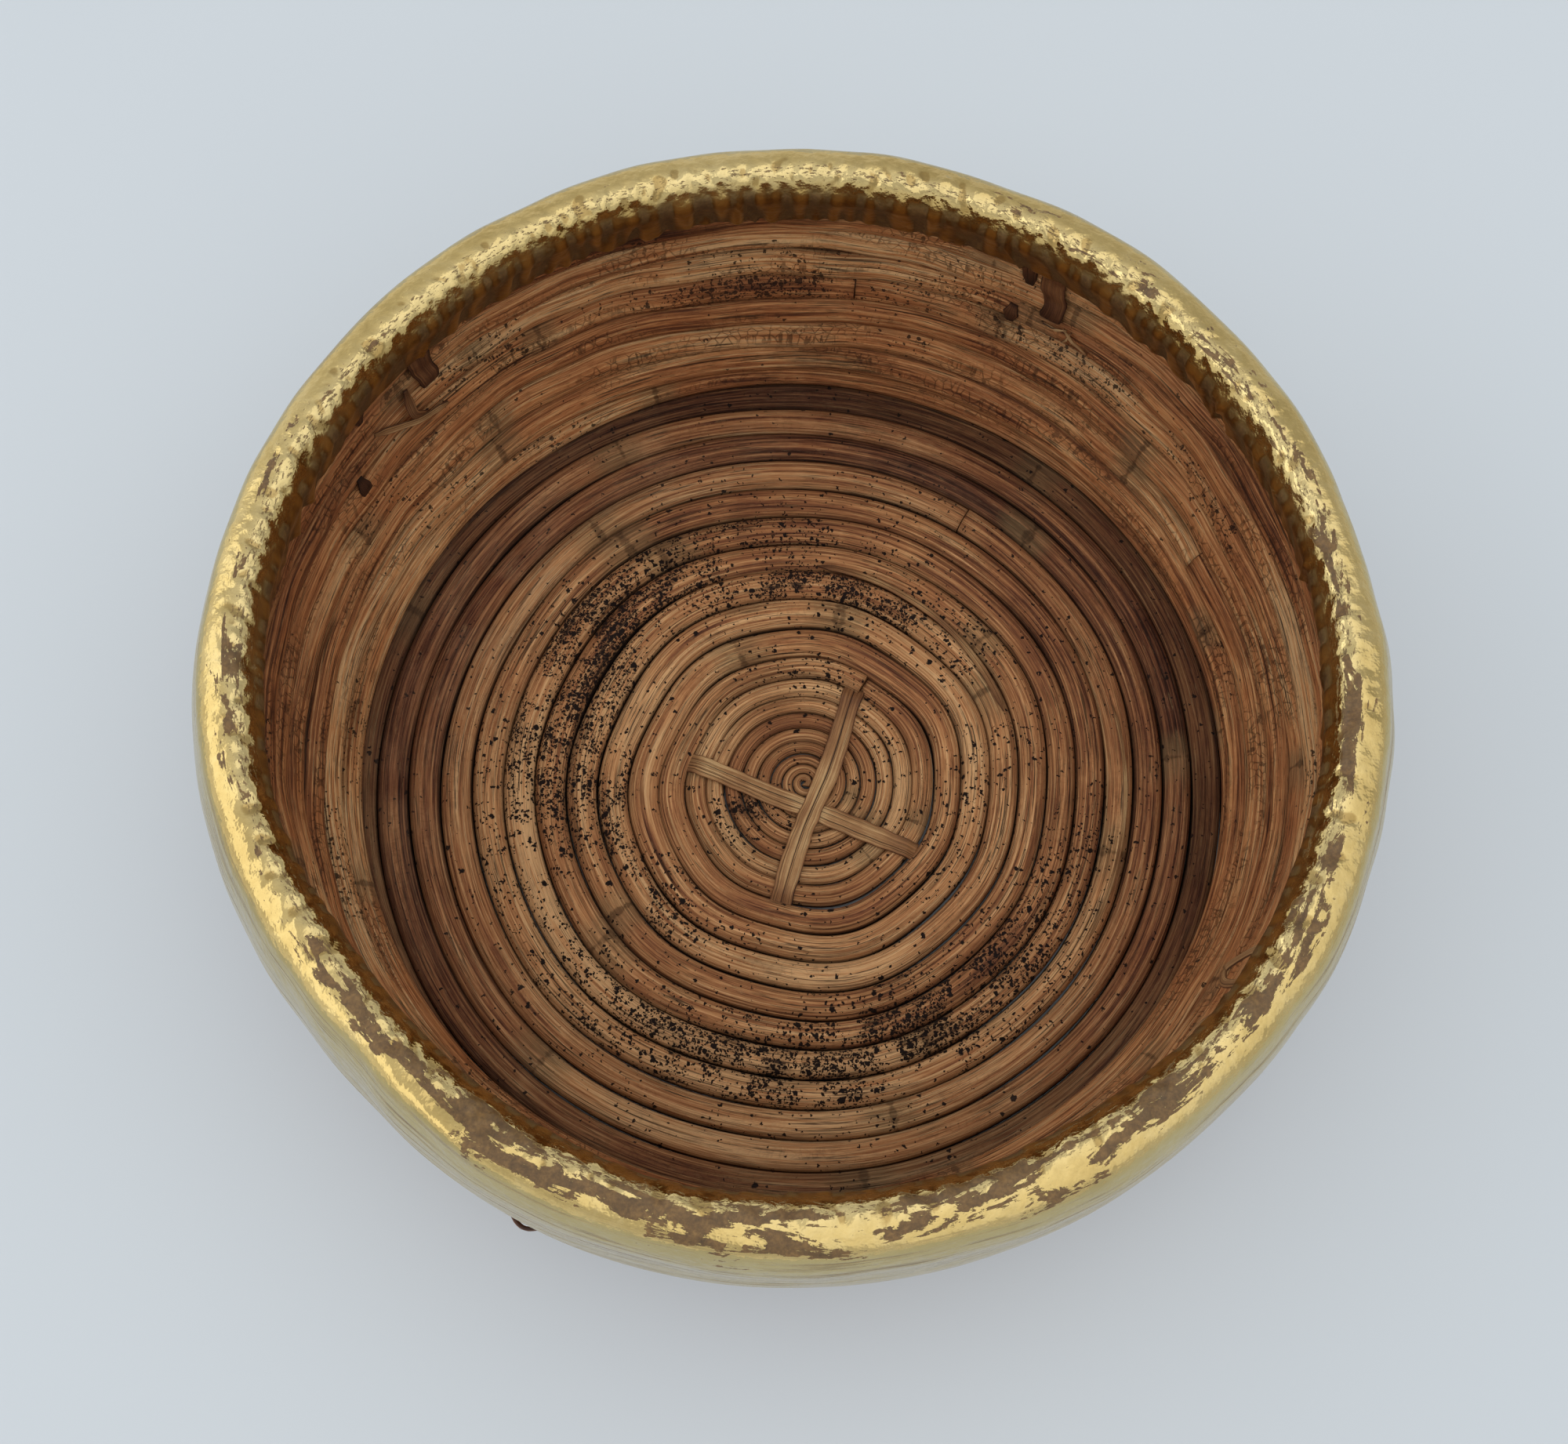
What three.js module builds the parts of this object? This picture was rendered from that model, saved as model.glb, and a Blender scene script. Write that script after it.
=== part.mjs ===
// A low round planter, wound from rattan cane, with sheet brass dressed over its rim.
// Units are millimetres and +Z is up. The origin is on the surface that the planter stands on, under the
// bowl's axis. The floor is a flat spiral and the wall a helix that stands on it, both turning
// anticlockwise as they grow. Cane strips hold the middle of the floor and lash the top turns of the wall.

import * as THREE from 'three';

// Cane and reed
const FLOOR_CANE = 9.2; // diameter of the cane in the floor
const WALL_CANE = 9.8; // diameter of the cane in the wall
const CANE_TIP = 2.6; // diameter of the cane's pared ends
const REED_TIP = 2; // diameter of the centre reed at its inner end
const REED_END = 6.2; // diameter of the centre reed at its outer end
const REED_EYE = 1.7; // centre-line radius of the reed's inner end
const REED_TURNS = 8; // turns of reed before the cane takes over
const FLOOR_GAP = 0.6; // air between neighbouring turns of the floor
const WALL_GAP = 0.95; // air between neighbouring turns of the wall
const SPLICE_GAP = 0.4; // air between the cut ends of two spliced canes
const FOOT_CUT = 0.5; // depth of the flat on the underside of the floor

// Bowl, at the centre-lines of its cane
const BASE_RADIUS = 141.5; // lowest full turn of the wall
const BELLY_RADIUS = 154; // widest turn
const RIM_RADIUS = 145.5; // top turn
const BELLY_RISE = 61.5; // lowest full turn to the widest
const RIM_RISE = 93.5; // lowest full turn to the top one
const FLOOR_OVERHANG = 4.5; // floor's edge past the centre-line of the lowest full turn
const FLOOR_CENTRE = new THREE.Vector2(5, -9.3); // the spiral starts off the bowl's axis
const EDGE_CENTRE = new THREE.Vector2(0.6, -1.2); // the floor's edge lies nearer to the axis
const FLOOR_START = THREE.MathUtils.degToRad(60); // azimuth where cane takes over from reed
const FLOOR_SPLICE = 7; // turn of the floor cane where its second length starts
const WALL_END = THREE.MathUtils.degToRad(204); // azimuth that the wall's turns are counted down from
const WALL_SPLICES = [8.5, 6.34]; // turns below the wall's end where its second and third lengths start

// Cane strips
const STRIP_THICKNESS = 0.9;
const CROSS_WIDTH = 6.4; // strips across the middle of the floor
const CROSS_AZIMUTHS = [-23, 71].map(THREE.MathUtils.degToRad); // lower strip, upper strip
const CROSS_OFFSETS = [8, 5.4]; // distances that the strips pass the spiral's centre by
const CROSS_RAMP = 7; // length over which the upper strip climbs onto the lower one
const CROSS_BEND = 3; // length of the bent ends
const CROSS_DIP = 0.8; // depth of the bent ends
const CROSS_GROOVE = 0.4; // extra width of the groove that takes the bent ends
const LASHING_WIDTH = 8;
const LASHING_REACH = 40; // distance below the top turn that a lashing reaches
const TIE_WIDTH = 6;
const TIE_REACH = 20; // distance below the top turn that a shorter tie reaches
const TUCK = 2.1; // depth of a lashing's ends in the groove between two turns
const TAIL_WIDTH = 3; // height of the loose tail
const TAIL_SPAN = 22; // distance between the ends of the loose tail
const TAIL_BOW = 6; // distance that the loose tail bows out from the wall
const TAIL_REACH = 46; // distance of the loose tail below the top turn

// Sheet brass
const BRASS_SHEET = 0.6;
const LIP_DEPTH = 24; // top of the rim to the sheet's lower edge, inside
const SKIRT_DEPTH = 42; // top of the rim to the sheet's lower edge, outside
const PUCKER_DEPTH = 0.7; // depth of the folds where the lip is gathered in
const EDGE_WAVE = 1.2; // rise and fall of the lip's hand-cut edge

// Clearance between pieces that touch
const SEAT_GAP = 0.3;

// Facets
const CANE_STEPS = 22;
const CANE_SIDES = 8;
const RUN_FACETS = 6;
const REED_STEPS = 12;
const REED_SIDES = 6;
const BRASS_STEPS = 72;
const LIP_FACETS = 2;
const ROLL_FACETS = 6;
const SKIRT_FACETS = 3;
const PUCKERS = BRASS_STEPS / 4;
const BOW_FACETS = 8;

const FULL_TURN = 2 * Math.PI;
const UP = new THREE.Vector3(0, 0, 1);

const rattan = (color) => new THREE.MeshStandardMaterial({ color, roughness: 0.65, metalness: 0 });
const caneTan = rattan(0xb08550);
const caneBrown = rattan(0x8f5d34);
const stripBrown = rattan(0x7c5334);
const brass = new THREE.MeshStandardMaterial({ color: 0xc9a94e, roughness: 0.3, metalness: 1 });

const planter = new THREE.Group();

function add(name, geometry, material, matrix) {
  const mesh = new THREE.Mesh(geometry, material);
  mesh.name = name;
  if (matrix) {
    mesh.applyMatrix4(matrix);
  }
  planter.add(mesh);
}

/** Outward direction at an azimuth. */
const outward = (azimuth) => new THREE.Vector3(Math.cos(azimuth), Math.sin(azimuth), 0);

/** Corners of a cane's section, with its flats on the cane's diameter and one flat facing outward. */
function section(centre, along, out, diameter, sides) {
  const corner = diameter / 2 / Math.cos(Math.PI / sides);
  return Array.from({ length: sides }, (_, k) => {
    const angle = Math.PI / 2 + (2 * k + 1) * Math.PI / sides;
    return centre.clone()
      .addScaledVector(along, corner * Math.cos(angle))
      .addScaledVector(out, corner * Math.sin(angle));
  });
}

/** Triangles over the ring of a convex section, facing back along the winding. */
const fan = (sides) => Array.from({ length: sides - 2 }, (_, k) => [0, k + 2, k + 1]);

/** Closed skin over rings of points: a tube with capped ends, or a hoop where there are no caps. */
function loft(rings, caps) {
  const sides = rings[0].length;
  const faces = [];
  const spans = caps.length > 0 ? rings.length - 1 : rings.length;
  for (let i = 0; i < spans; i++) {
    const here = i * sides;
    const next = ((i + 1) % rings.length) * sides;
    for (let k = 0; k < sides; k++) {
      const k1 = (k + 1) % sides;
      faces.push(here + k, here + k1, next + k1, here + k, next + k1, next + k);
    }
  }
  const last = (rings.length - 1) * sides;
  for (const [a, b, c] of caps) {
    faces.push(a, b, c, last + a, last + c, last + b);
  }
  const geometry = new THREE.BufferGeometry().setFromPoints(rings.flat());
  geometry.setIndex(faces);
  geometry.computeVertexNormals();
  return geometry;
}

/** Turns from start to end, in even steps that pass through a given turn. */
function turnsBetween(start, end, steps, through) {
  const turns = [start];
  const tooClose = 0.3 / steps;
  for (let i = Math.ceil((start + tooClose - through) * steps); i / steps + through < end - tooClose; i++) {
    turns.push(i / steps + through);
  }
  turns.push(end);
  return turns;
}

/** Values in even steps from one towards another, which is left out. */
function spaced(from, to, facets) {
  return Array.from({ length: facets }, (_, k) => from + (to - from) * k / facets);
}

/** Least distance between points of a winding that lie half a turn or more apart along it. */
function leastGap(rings, steps) {
  let least = Infinity;
  for (let i = 0; i < rings.length; i++) {
    for (let j = i + steps / 2; j < rings.length; j++) {
      for (const p of rings[i]) {
        for (const q of rings[j]) {
          least = Math.min(least, p.distanceTo(q));
        }
      }
    }
  }
  return least;
}

function addWinding(name, rings, steps, material) {
  console.log(`${name}: least gap between its turns ${leastGap(rings, steps).toFixed(2)} mm`);
  add(name, loft(rings, fan(rings[0].length)), material);
}

/** Closed outline of a strip of even thickness along a bent centre line in a plane. */
function stripOutline(line) {
  const sides = [1, -1].map((side) => line.map((point, i) => {
    const before = point.clone().sub(line[Math.max(i - 1, 0)]).normalize();
    const after = line[Math.min(i + 1, line.length - 1)].clone().sub(point).normalize();
    const ahead = before.clone().add(after).normalize();
    const mitre = i === 0 || i === line.length - 1 ? 1 : Math.max(ahead.dot(after), 0.5);
    const normal = new THREE.Vector2(-ahead.y, ahead.x);
    return point.clone().addScaledVector(normal, side * STRIP_THICKNESS / 2 / mitre);
  }));
  return [...sides[0], ...sides[1].reverse()];
}

/** Strip with a bent centre line, extruded to its width and centred on it. */
function strip(line, width) {
  const shape = new THREE.Shape(stripOutline(line));
  const geometry = new THREE.ExtrudeGeometry(shape, { depth: width, bevelEnabled: false });
  geometry.translate(0, 0, -width / 2);
  return geometry;
}

// Floor: reed that thickens evenly from its tip, then cane that thickens over its first turn, stays even, and
// is pared over its last turn to make the floor round. The turns lie closer together on the side that the
// spiral's centre is off to. The tops of the cane's turns are level, and the reed's are lower, to leave room
// for the crossing strips.

const floorTop = FLOOR_CANE - FOOT_CUT;
const reedTop = floorTop - STRIP_THICKNESS - SEAT_GAP;
const floorPitch = FLOOR_CANE + FLOOR_GAP;
const floorRadius = BASE_RADIUS + FLOOR_OVERHANG;

const reedThickness = (turn) => REED_TIP + (REED_END - REED_TIP) * turn / REED_TURNS;

function reedRadius(turn) {
  return REED_EYE + (REED_TIP + FLOOR_GAP) * turn + (REED_END - REED_TIP) * turn ** 2 / (2 * REED_TURNS);
}

const firstRadius = reedRadius(REED_TURNS) + CROSS_GROOVE + (REED_END + FLOOR_CANE) / 2 + FLOOR_GAP;
const fullTurns = (floorRadius - FLOOR_CANE / 2 - firstRadius) / floorPitch;
const lastFullTurn = 1 + fullTurns;
const caneTurns = lastFullTurn + (FLOOR_CANE - CANE_TIP) / floorPitch;

const caneAzimuth = (turn) => FLOOR_START + turn * FULL_TURN;

/** Distance from the spiral's centre to the floor's edge at an azimuth. */
function edgeRadius(azimuth) {
  const shift = EDGE_CENTRE.clone().sub(FLOOR_CENTRE);
  const across = shift.x * Math.cos(azimuth) + shift.y * Math.sin(azimuth);
  return across + Math.sqrt(floorRadius ** 2 - shift.lengthSq() + across ** 2);
}

/** Pitch at a turn's azimuth, which takes the turns evenly from the first full one to the floor's edge. */
function canePitch(turn) {
  return (edgeRadius(caneAzimuth(turn)) - FLOOR_CANE / 2 - firstRadius) / fullTurns;
}

function caneWidth(turn) {
  const pitch = canePitch(turn);
  if (turn < 1) {
    return REED_END + (pitch - FLOOR_GAP - REED_END) * turn;
  }
  return pitch * Math.min(1, lastFullTurn + 1 - turn) - FLOOR_GAP;
}

const caneHeight = (turn) => FLOOR_CANE * caneWidth(turn) / (canePitch(turn) - FLOOR_GAP);

function caneOutside(turn) {
  return firstRadius + canePitch(turn) * (Math.min(turn, lastFullTurn) - 0.5) - FLOOR_GAP / 2;
}

const caneRadius = (turn) => caneOutside(turn) - caneWidth(turn) / 2;

function floorPoint(radius, azimuth, height) {
  const out = outward(azimuth).multiplyScalar(radius);
  return new THREE.Vector3(FLOOR_CENTRE.x + out.x, FLOOR_CENTRE.y + out.y, height);
}

function reedRing(turn) {
  const azimuth = FLOOR_START + (turn - REED_TURNS) * FULL_TURN;
  const thickness = reedThickness(turn);
  const ridge = thickness / 2 / Math.cos(Math.PI / REED_SIDES);
  const centre = floorPoint(reedRadius(turn), azimuth, reedTop - ridge);
  return section(centre, UP, outward(azimuth), thickness, REED_SIDES);
}

function floorRing(turn) {
  const azimuth = caneAzimuth(turn);
  const width = caneWidth(turn);
  const height = caneHeight(turn);
  const centre = floorPoint(caneRadius(turn), azimuth, floorTop - height / 2);
  const ring = section(centre, UP.clone().multiplyScalar(height / width), outward(azimuth), width, CANE_SIDES);
  ring.forEach((point) => point.setZ(Math.max(point.z, 0)));
  return ring;
}

/** Half of a splice's gap, in turns of a winding at a radius. */
const spliceTurn = (radius) => SPLICE_GAP / 2 / (FULL_TURN * radius);

function addFloor() {
  const reedEnd = REED_TURNS - spliceTurn(reedRadius(REED_TURNS));
  const reedRings = turnsBetween(0, reedEnd, REED_STEPS, 0).map(reedRing);
  addWinding('floor_center_reed', reedRings, REED_STEPS, caneTan);

  const splice = spliceTurn(caneRadius(FLOOR_SPLICE));
  const innerStart = spliceTurn(caneRadius(0));
  const innerRings = turnsBetween(innerStart, FLOOR_SPLICE - splice, CANE_STEPS, 0).map(floorRing);
  addWinding('floor_cane_inner', innerRings, CANE_STEPS, caneTan);
  const outerRings = turnsBetween(FLOOR_SPLICE + splice, caneTurns, CANE_STEPS, 0).map(floorRing);
  addWinding('floor_cane_outer', outerRings, CANE_STEPS, caneBrown);
}

// Two strips across the reed, with their ends bent into the groove between the reed and the cane.

function grooveRadius(azimuth) {
  const turn = THREE.MathUtils.euclideanModulo((azimuth - FLOOR_START) / FULL_TURN, 1);
  return caneOutside(turn) - caneWidth(turn) - (CROSS_GROOVE + FLOOR_GAP) / 2;
}

/** Distance along a crossing strip, from the foot of the spiral centre's perpendicular, to the groove. */
function crossReach(azimuth, offset, sense) {
  let reach = sense * grooveRadius(azimuth);
  for (let pass = 0; pass < 20; pass++) {
    const polar = new THREE.Vector2(reach, -offset).angle() + azimuth;
    reach = sense * Math.sqrt(grooveRadius(polar) ** 2 - offset ** 2);
  }
  return reach - sense * 2 * SEAT_GAP;
}

function addCrossStrips() {
  const [lowerAzimuth, upperAzimuth] = CROSS_AZIMUTHS;
  const angle = upperAzimuth - lowerAzimuth;
  const [lowerOffset, upperOffset] = CROSS_OFFSETS;
  const crossing = (upperOffset * Math.cos(angle) - lowerOffset) / Math.sin(angle);
  const humpHalf = CROSS_WIDTH / 2 / Math.sin(angle) + CROSS_WIDTH / 2 / Math.tan(angle) + STRIP_THICKNESS;
  const level = reedTop + SEAT_GAP + STRIP_THICKNESS / 2;
  const raised = level + STRIP_THICKNESS + SEAT_GAP;
  const humps = [
    [],
    [
      [crossing - humpHalf - CROSS_RAMP, level],
      [crossing - humpHalf, raised],
      [crossing + humpHalf, raised],
      [crossing + humpHalf + CROSS_RAMP, level],
    ],
  ];
  ['floor_cross_strip_lower', 'floor_cross_strip_upper'].forEach((name, i) => {
    const azimuth = CROSS_AZIMUTHS[i];
    const offset = CROSS_OFFSETS[i];
    const start = crossReach(azimuth, offset, -1);
    const end = crossReach(azimuth, offset, 1);
    const line = [
      [start, level - CROSS_DIP],
      [start + CROSS_BEND, level],
      ...humps[i],
      [end - CROSS_BEND, level],
      [end, level - CROSS_DIP],
    ].map(([x, y]) => new THREE.Vector2(x, y));
    const along = outward(azimuth);
    const across = new THREE.Vector3().crossVectors(along, UP);
    const matrix = new THREE.Matrix4().makeBasis(along, UP, across);
    const foot = across.clone().multiplyScalar(offset);
    matrix.setPosition(foot.x + FLOOR_CENTRE.x, foot.y + FLOOR_CENTRE.y, 0);
    add(name, strip(line, CROSS_WIDTH), stripBrown, matrix);
  });
}

// Wall: a helix up a bellied profile. Its first and last turns are pared, so that the bowl stands level and
// its rim is level. Distances along the profile run from the lowest full turn, at 0, to the top turn.

const wallPitch = WALL_CANE + WALL_GAP;
const wallFoot = floorTop + SEAT_GAP + WALL_CANE / 2 / Math.cos(Math.PI / CANE_SIDES);
const bellyHeight = wallFoot + BELLY_RISE;
const rimHeight = wallFoot + RIM_RISE;

const profile = new THREE.CurvePath();
profile.add(new THREE.QuadraticBezierCurve(
  new THREE.Vector2(BASE_RADIUS, wallFoot),
  new THREE.Vector2(BELLY_RADIUS, (wallFoot + bellyHeight) / 2),
  new THREE.Vector2(BELLY_RADIUS, bellyHeight),
));
profile.add(new THREE.QuadraticBezierCurve(
  new THREE.Vector2(BELLY_RADIUS, bellyHeight),
  new THREE.Vector2(BELLY_RADIUS, (bellyHeight + rimHeight) / 2),
  new THREE.Vector2(RIM_RADIUS, rimHeight),
));
const profileLength = profile.getLength();
const wallTurns = 2 + profileLength / wallPitch;

/** Point of the wall's profile, with its direction up the wall and its direction out of the wall. */
function wallFrame(distance) {
  const inside = THREE.MathUtils.clamp(distance, 0, profileLength);
  const along = profile.getTangent(inside / profileLength);
  const point = profile.getPoint(inside / profileLength).addScaledVector(along, distance - inside);
  return { point, along, out: new THREE.Vector2(along.y, -along.x) };
}

/** A wall profile's point or direction, turned to an azimuth. */
function turned(flat, azimuth) {
  return outward(azimuth).multiplyScalar(flat.x).setZ(flat.y);
}

function wallCane(turn) {
  const rise = wallPitch * turn - WALL_GAP;
  const fall = WALL_CANE - wallPitch * (turn - wallTurns + 1);
  const thickness = Math.min(rise, WALL_CANE, fall);
  const distance = turn < 1
    ? (thickness - WALL_CANE) / 2
    : Math.min(wallPitch * (turn - 1), profileLength + (WALL_CANE - thickness) / 2);
  return { thickness, distance };
}

function wallRing(turn) {
  const azimuth = WALL_END + (turn - wallTurns) * FULL_TURN;
  const { thickness, distance } = wallCane(turn);
  const { point, along, out } = wallFrame(distance);
  return section(turned(point, azimuth), turned(along, azimuth), turned(out, azimuth), thickness, CANE_SIDES);
}

function addWall() {
  const firstTurn = (CANE_TIP + WALL_GAP) / wallPitch;
  const lastTurn = wallTurns - 1 + (WALL_CANE - CANE_TIP) / wallPitch;
  const ends = [firstTurn, ...WALL_SPLICES.map((below) => wallTurns - below), lastTurn];
  const splice = spliceTurn(BELLY_RADIUS);
  ['wall_cane_lower', 'wall_cane_middle', 'wall_cane_upper'].forEach((name, i) => {
    const start = i === 0 ? firstTurn : ends[i] + splice;
    const end = i + 2 === ends.length ? lastTurn : ends[i + 1] - splice;
    const turns = turnsBetween(start, end, CANE_STEPS, wallTurns);
    addWinding(name, turns.map(wallRing), CANE_STEPS, caneBrown);
  });
}

// Lashings: strips that leave a groove between two turns, pass up the inside of the wall, over the top turn
// and down the outside, and go into the same groove. Each lies flat against the facets of the turns.

/** Point beside the wall's profile, at a distance along it and a distance out of it. */
function beside(distance, out) {
  const frame = wallFrame(distance);
  return frame.point.addScaledVector(frame.out, out);
}

/** Points round the top turn at angles from the inside of the wall to the outside. */
function overTop(reach, angles) {
  const { point, along, out } = wallFrame(profileLength);
  return angles.map((angle) => point.clone()
    .addScaledVector(out, -reach * Math.cos(angle))
    .addScaledVector(along, reach * Math.sin(angle)));
}

/** Distance along the profile of the groove nearest to a reach below the top turn, at an azimuth. */
function grooveNear(azimuthTurn, reach) {
  const phase = wallTurns + azimuthTurn - 1.5;
  const turns = Math.round((profileLength - reach) / wallPitch - phase);
  return wallPitch * (turns + phase);
}

const sideCosine = Math.cos(Math.PI / CANE_SIDES);
const cornerAngles = Array.from({ length: CANE_SIDES / 2 }, (_, k) => (2 * k + 1) * Math.PI / CANE_SIDES);

function addLashing(name, azimuthTurn, width, reach) {
  const groove = grooveNear(azimuthTurn, reach);
  const out = WALL_CANE / 2 + SEAT_GAP + STRIP_THICKNESS / 2;
  const tucked = WALL_CANE / 2 - TUCK;
  const run = [groove, ...spaced(groove + STRIP_THICKNESS, profileLength, RUN_FACETS)];
  const outs = run.map((_, i) => (i === 0 ? out - STRIP_THICKNESS : out));
  const line = [
    beside(groove, -tucked),
    ...run.map((distance, i) => beside(distance, -outs[i])),
    ...overTop(out / sideCosine, cornerAngles),
    ...run.map((distance, i) => beside(distance, outs[i])).reverse(),
    beside(groove, tucked),
  ];
  const outline = stripOutline(line);
  const step = FULL_TURN / CANE_STEPS;
  const azimuth = WALL_END + azimuthTurn * FULL_TURN;
  const share = width / 2 / (2 * RIM_RADIUS * Math.sin(step / 2));
  const rings = [-1, 0, 1].map((side) => outline.map((point) => {
    const neighbour = turned(point, azimuth + side * step);
    return turned(point, azimuth).lerp(neighbour, share);
  }));
  add(name, loft(rings, THREE.ShapeUtils.triangulateShape(outline, [])), stripBrown);
}

const lashingTurns = [-9, -4, 2, 7].map((step) => step / CANE_STEPS);
const tieTurns = [-8, -3, 3, 6].map((step) => step / CANE_STEPS);

function addLashings() {
  lashingTurns.forEach((turn, i) => addLashing(`rim_lashing_${i + 1}`, turn, LASHING_WIDTH, LASHING_REACH));
  tieTurns.forEach((turn, i) => addLashing(`rim_tie_${i + 1}`, turn, TIE_WIDTH, TIE_REACH));
}

/** A lashing's loose tail, bowed out of a groove on the outside of the wall, below the brass. */
function addLooseTail() {
  const middleTurn = lashingTurns[2] + 0.5 / CANE_STEPS;
  const cornerSum = WALL_CANE / 2 * (1 + Math.tan(Math.PI / CANE_SIDES));
  const grooveDepth = wallPitch / 2 - TAIL_WIDTH / 2 - SEAT_GAP * Math.SQRT2;
  const endOut = cornerSum - grooveDepth + STRIP_THICKNESS / 2;
  const seat = beside(grooveNear(middleTurn, TAIL_REACH), endOut);
  const bow = TAIL_BOW + WALL_CANE / 2 - endOut;
  const line = Array.from({ length: BOW_FACETS + 1 }, (_, k) => {
    const across = k / BOW_FACETS - 0.5;
    const radius = seat.x * Math.cos(Math.PI / CANE_STEPS) + bow * Math.cos(Math.PI * across) ** 2;
    return new THREE.Vector2(radius, across * TAIL_SPAN);
  });
  const matrix = new THREE.Matrix4().makeRotationZ(WALL_END + middleTurn * FULL_TURN);
  matrix.setPosition(0, 0, seat.y);
  add('loose_lashing_tail', strip(line, TAIL_WIDTH), stripBrown, matrix);
}

// Brass: one sheet, dressed over the top turns from the skirt outside to the gathered lip inside.

const rollAngles = Array.from({ length: ROLL_FACETS + 1 }, (_, k) => Math.PI * k / ROLL_FACETS);

function brassSide(reach, lipEdge, skirtEdge) {
  return [
    ...spaced(lipEdge, profileLength, LIP_FACETS).map((distance) => beside(distance, -reach)),
    ...overTop(reach, rollAngles),
    ...spaced(skirtEdge, profileLength, SKIRT_FACETS).map((distance) => beside(distance, reach)).reverse(),
  ];
}

function addBrass() {
  const lashingCorner = (WALL_CANE / 2 + SEAT_GAP + STRIP_THICKNESS) / sideCosine;
  const lashingEdge = LASHING_WIDTH / 2 * Math.tan(Math.PI / CANE_STEPS);
  const insideReach = lashingCorner + lashingEdge + SEAT_GAP;
  const outsideReach = insideReach + BRASS_SHEET;
  const top = profileLength + outsideReach;
  const skirtEdge = top - SKIRT_DEPTH;
  const rings = Array.from({ length: BRASS_STEPS }, (_, i) => {
    const azimuth = FULL_TURN * i / BRASS_STEPS;
    const wave = EDGE_WAVE * Math.sin(5 * azimuth) * Math.cos(3 * azimuth);
    const lipEdge = top - LIP_DEPTH + wave;
    const outer = brassSide(outsideReach, lipEdge, skirtEdge);
    const inner = brassSide(insideReach, lipEdge, skirtEdge);
    const pucker = PUCKER_DEPTH * Math.sin(PUCKERS * azimuth / 2) ** 2;
    for (const side of [outer, inner]) {
      for (let k = 0; k < LIP_FACETS; k++) {
        side[k].x -= pucker * (1 - k / LIP_FACETS);
      }
    }
    return [...outer, ...inner.reverse()].map((point) => turned(point, azimuth));
  });
  add('brass_rim', loft(rings, []), brass);
}

addFloor();
addCrossStrips();
addWall();
addLashings();
addLooseTail();
addBrass();

export default planter;
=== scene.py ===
"""Looks of the rattan planter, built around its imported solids. Metres, +Z up, same frame as the solids."""
import math

import bpy
import numpy as np
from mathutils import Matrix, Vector


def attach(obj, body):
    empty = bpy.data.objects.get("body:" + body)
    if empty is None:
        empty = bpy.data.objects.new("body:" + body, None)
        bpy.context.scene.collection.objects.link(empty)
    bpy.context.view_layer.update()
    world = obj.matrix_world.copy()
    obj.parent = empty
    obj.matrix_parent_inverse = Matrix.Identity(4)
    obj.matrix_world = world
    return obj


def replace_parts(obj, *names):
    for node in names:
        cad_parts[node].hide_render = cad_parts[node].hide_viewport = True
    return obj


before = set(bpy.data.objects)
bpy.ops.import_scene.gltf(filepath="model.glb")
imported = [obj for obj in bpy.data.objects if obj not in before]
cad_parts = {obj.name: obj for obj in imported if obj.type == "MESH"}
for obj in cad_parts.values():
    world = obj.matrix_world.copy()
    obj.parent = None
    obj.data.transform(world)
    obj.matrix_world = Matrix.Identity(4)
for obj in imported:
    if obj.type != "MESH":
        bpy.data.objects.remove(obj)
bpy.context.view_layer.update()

MM = 0.001
TAU = 2 * math.pi
UP = np.array([0.0, 0.0, 1.0])

# Sizes of the winding in millimetres, as in the part's source
FLOOR_CANE, WALL_CANE, CANE_TIP = 9.2, 9.8, 2.6
REED_TIP, REED_END, REED_EYE, REED_TURNS = 2.0, 6.2, 1.7, 8.0
FLOOR_GAP, WALL_GAP, FOOT_CUT, SPLICE_GAP = 0.6, 0.95, 0.5, 0.4
BASE_RADIUS, BELLY_RADIUS, RIM_RADIUS = 141.5, 154.0, 145.5
BELLY_RISE, RIM_RISE, FLOOR_OVERHANG = 61.5, 93.5, 4.5
FLOOR_CENTRE = np.array([5.0, -9.3, 0.0])
EDGE_CENTRE = np.array([0.6, -1.2, 0.0])
FLOOR_START, WALL_END = math.radians(60), math.radians(204)
FLOOR_SPLICE, WALL_SPLICES = 7.0, (8.5, 6.34)
STRIP, SEAT, TUCK = 0.9, 0.3, 2.1
CROSS_WIDTH, CROSS_GROOVE = 6.4, 0.4
CROSS_AZIMUTHS = (math.radians(-23), math.radians(71))
CROSS_OFFSETS = (8.0, 5.4)
LASHING_WIDTH, LASHING_REACH, TIE_WIDTH, TIE_REACH = 8.0, 40.0, 6.0, 20.0
TAIL_WIDTH, TAIL_SPAN, TAIL_REACH = 3.0, 22.0, 46.0
LASHING_STEPS, TIE_STEPS, TAIL_STEP = (-9, -4, 2, 7), (-8, -3, 3, 6), 2.5
BRASS_SHEET, BRASS_ROOM, LIP_DEPTH, SKIRT_DEPTH = 0.5, 2.5, 24.0, 42.0
CANE_STEPS, CANE_SIDES = 22, 8


# Helpers for shapes

def ripple(angle, other, seed, low, high, count, tilt=0.0):
    """Smooth irregular wave of about unit size, periodic in angle, that drifts with a second coordinate."""
    rng = np.random.default_rng(seed)
    total = 0.0
    for _ in range(count):
        k = rng.integers(low, high + 1)
        slope = rng.uniform(-1, 1) * tilt
        total = total + np.sin(k * angle + slope * other + rng.uniform(0, TAU))
    return total * math.sqrt(2 / count)


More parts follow.
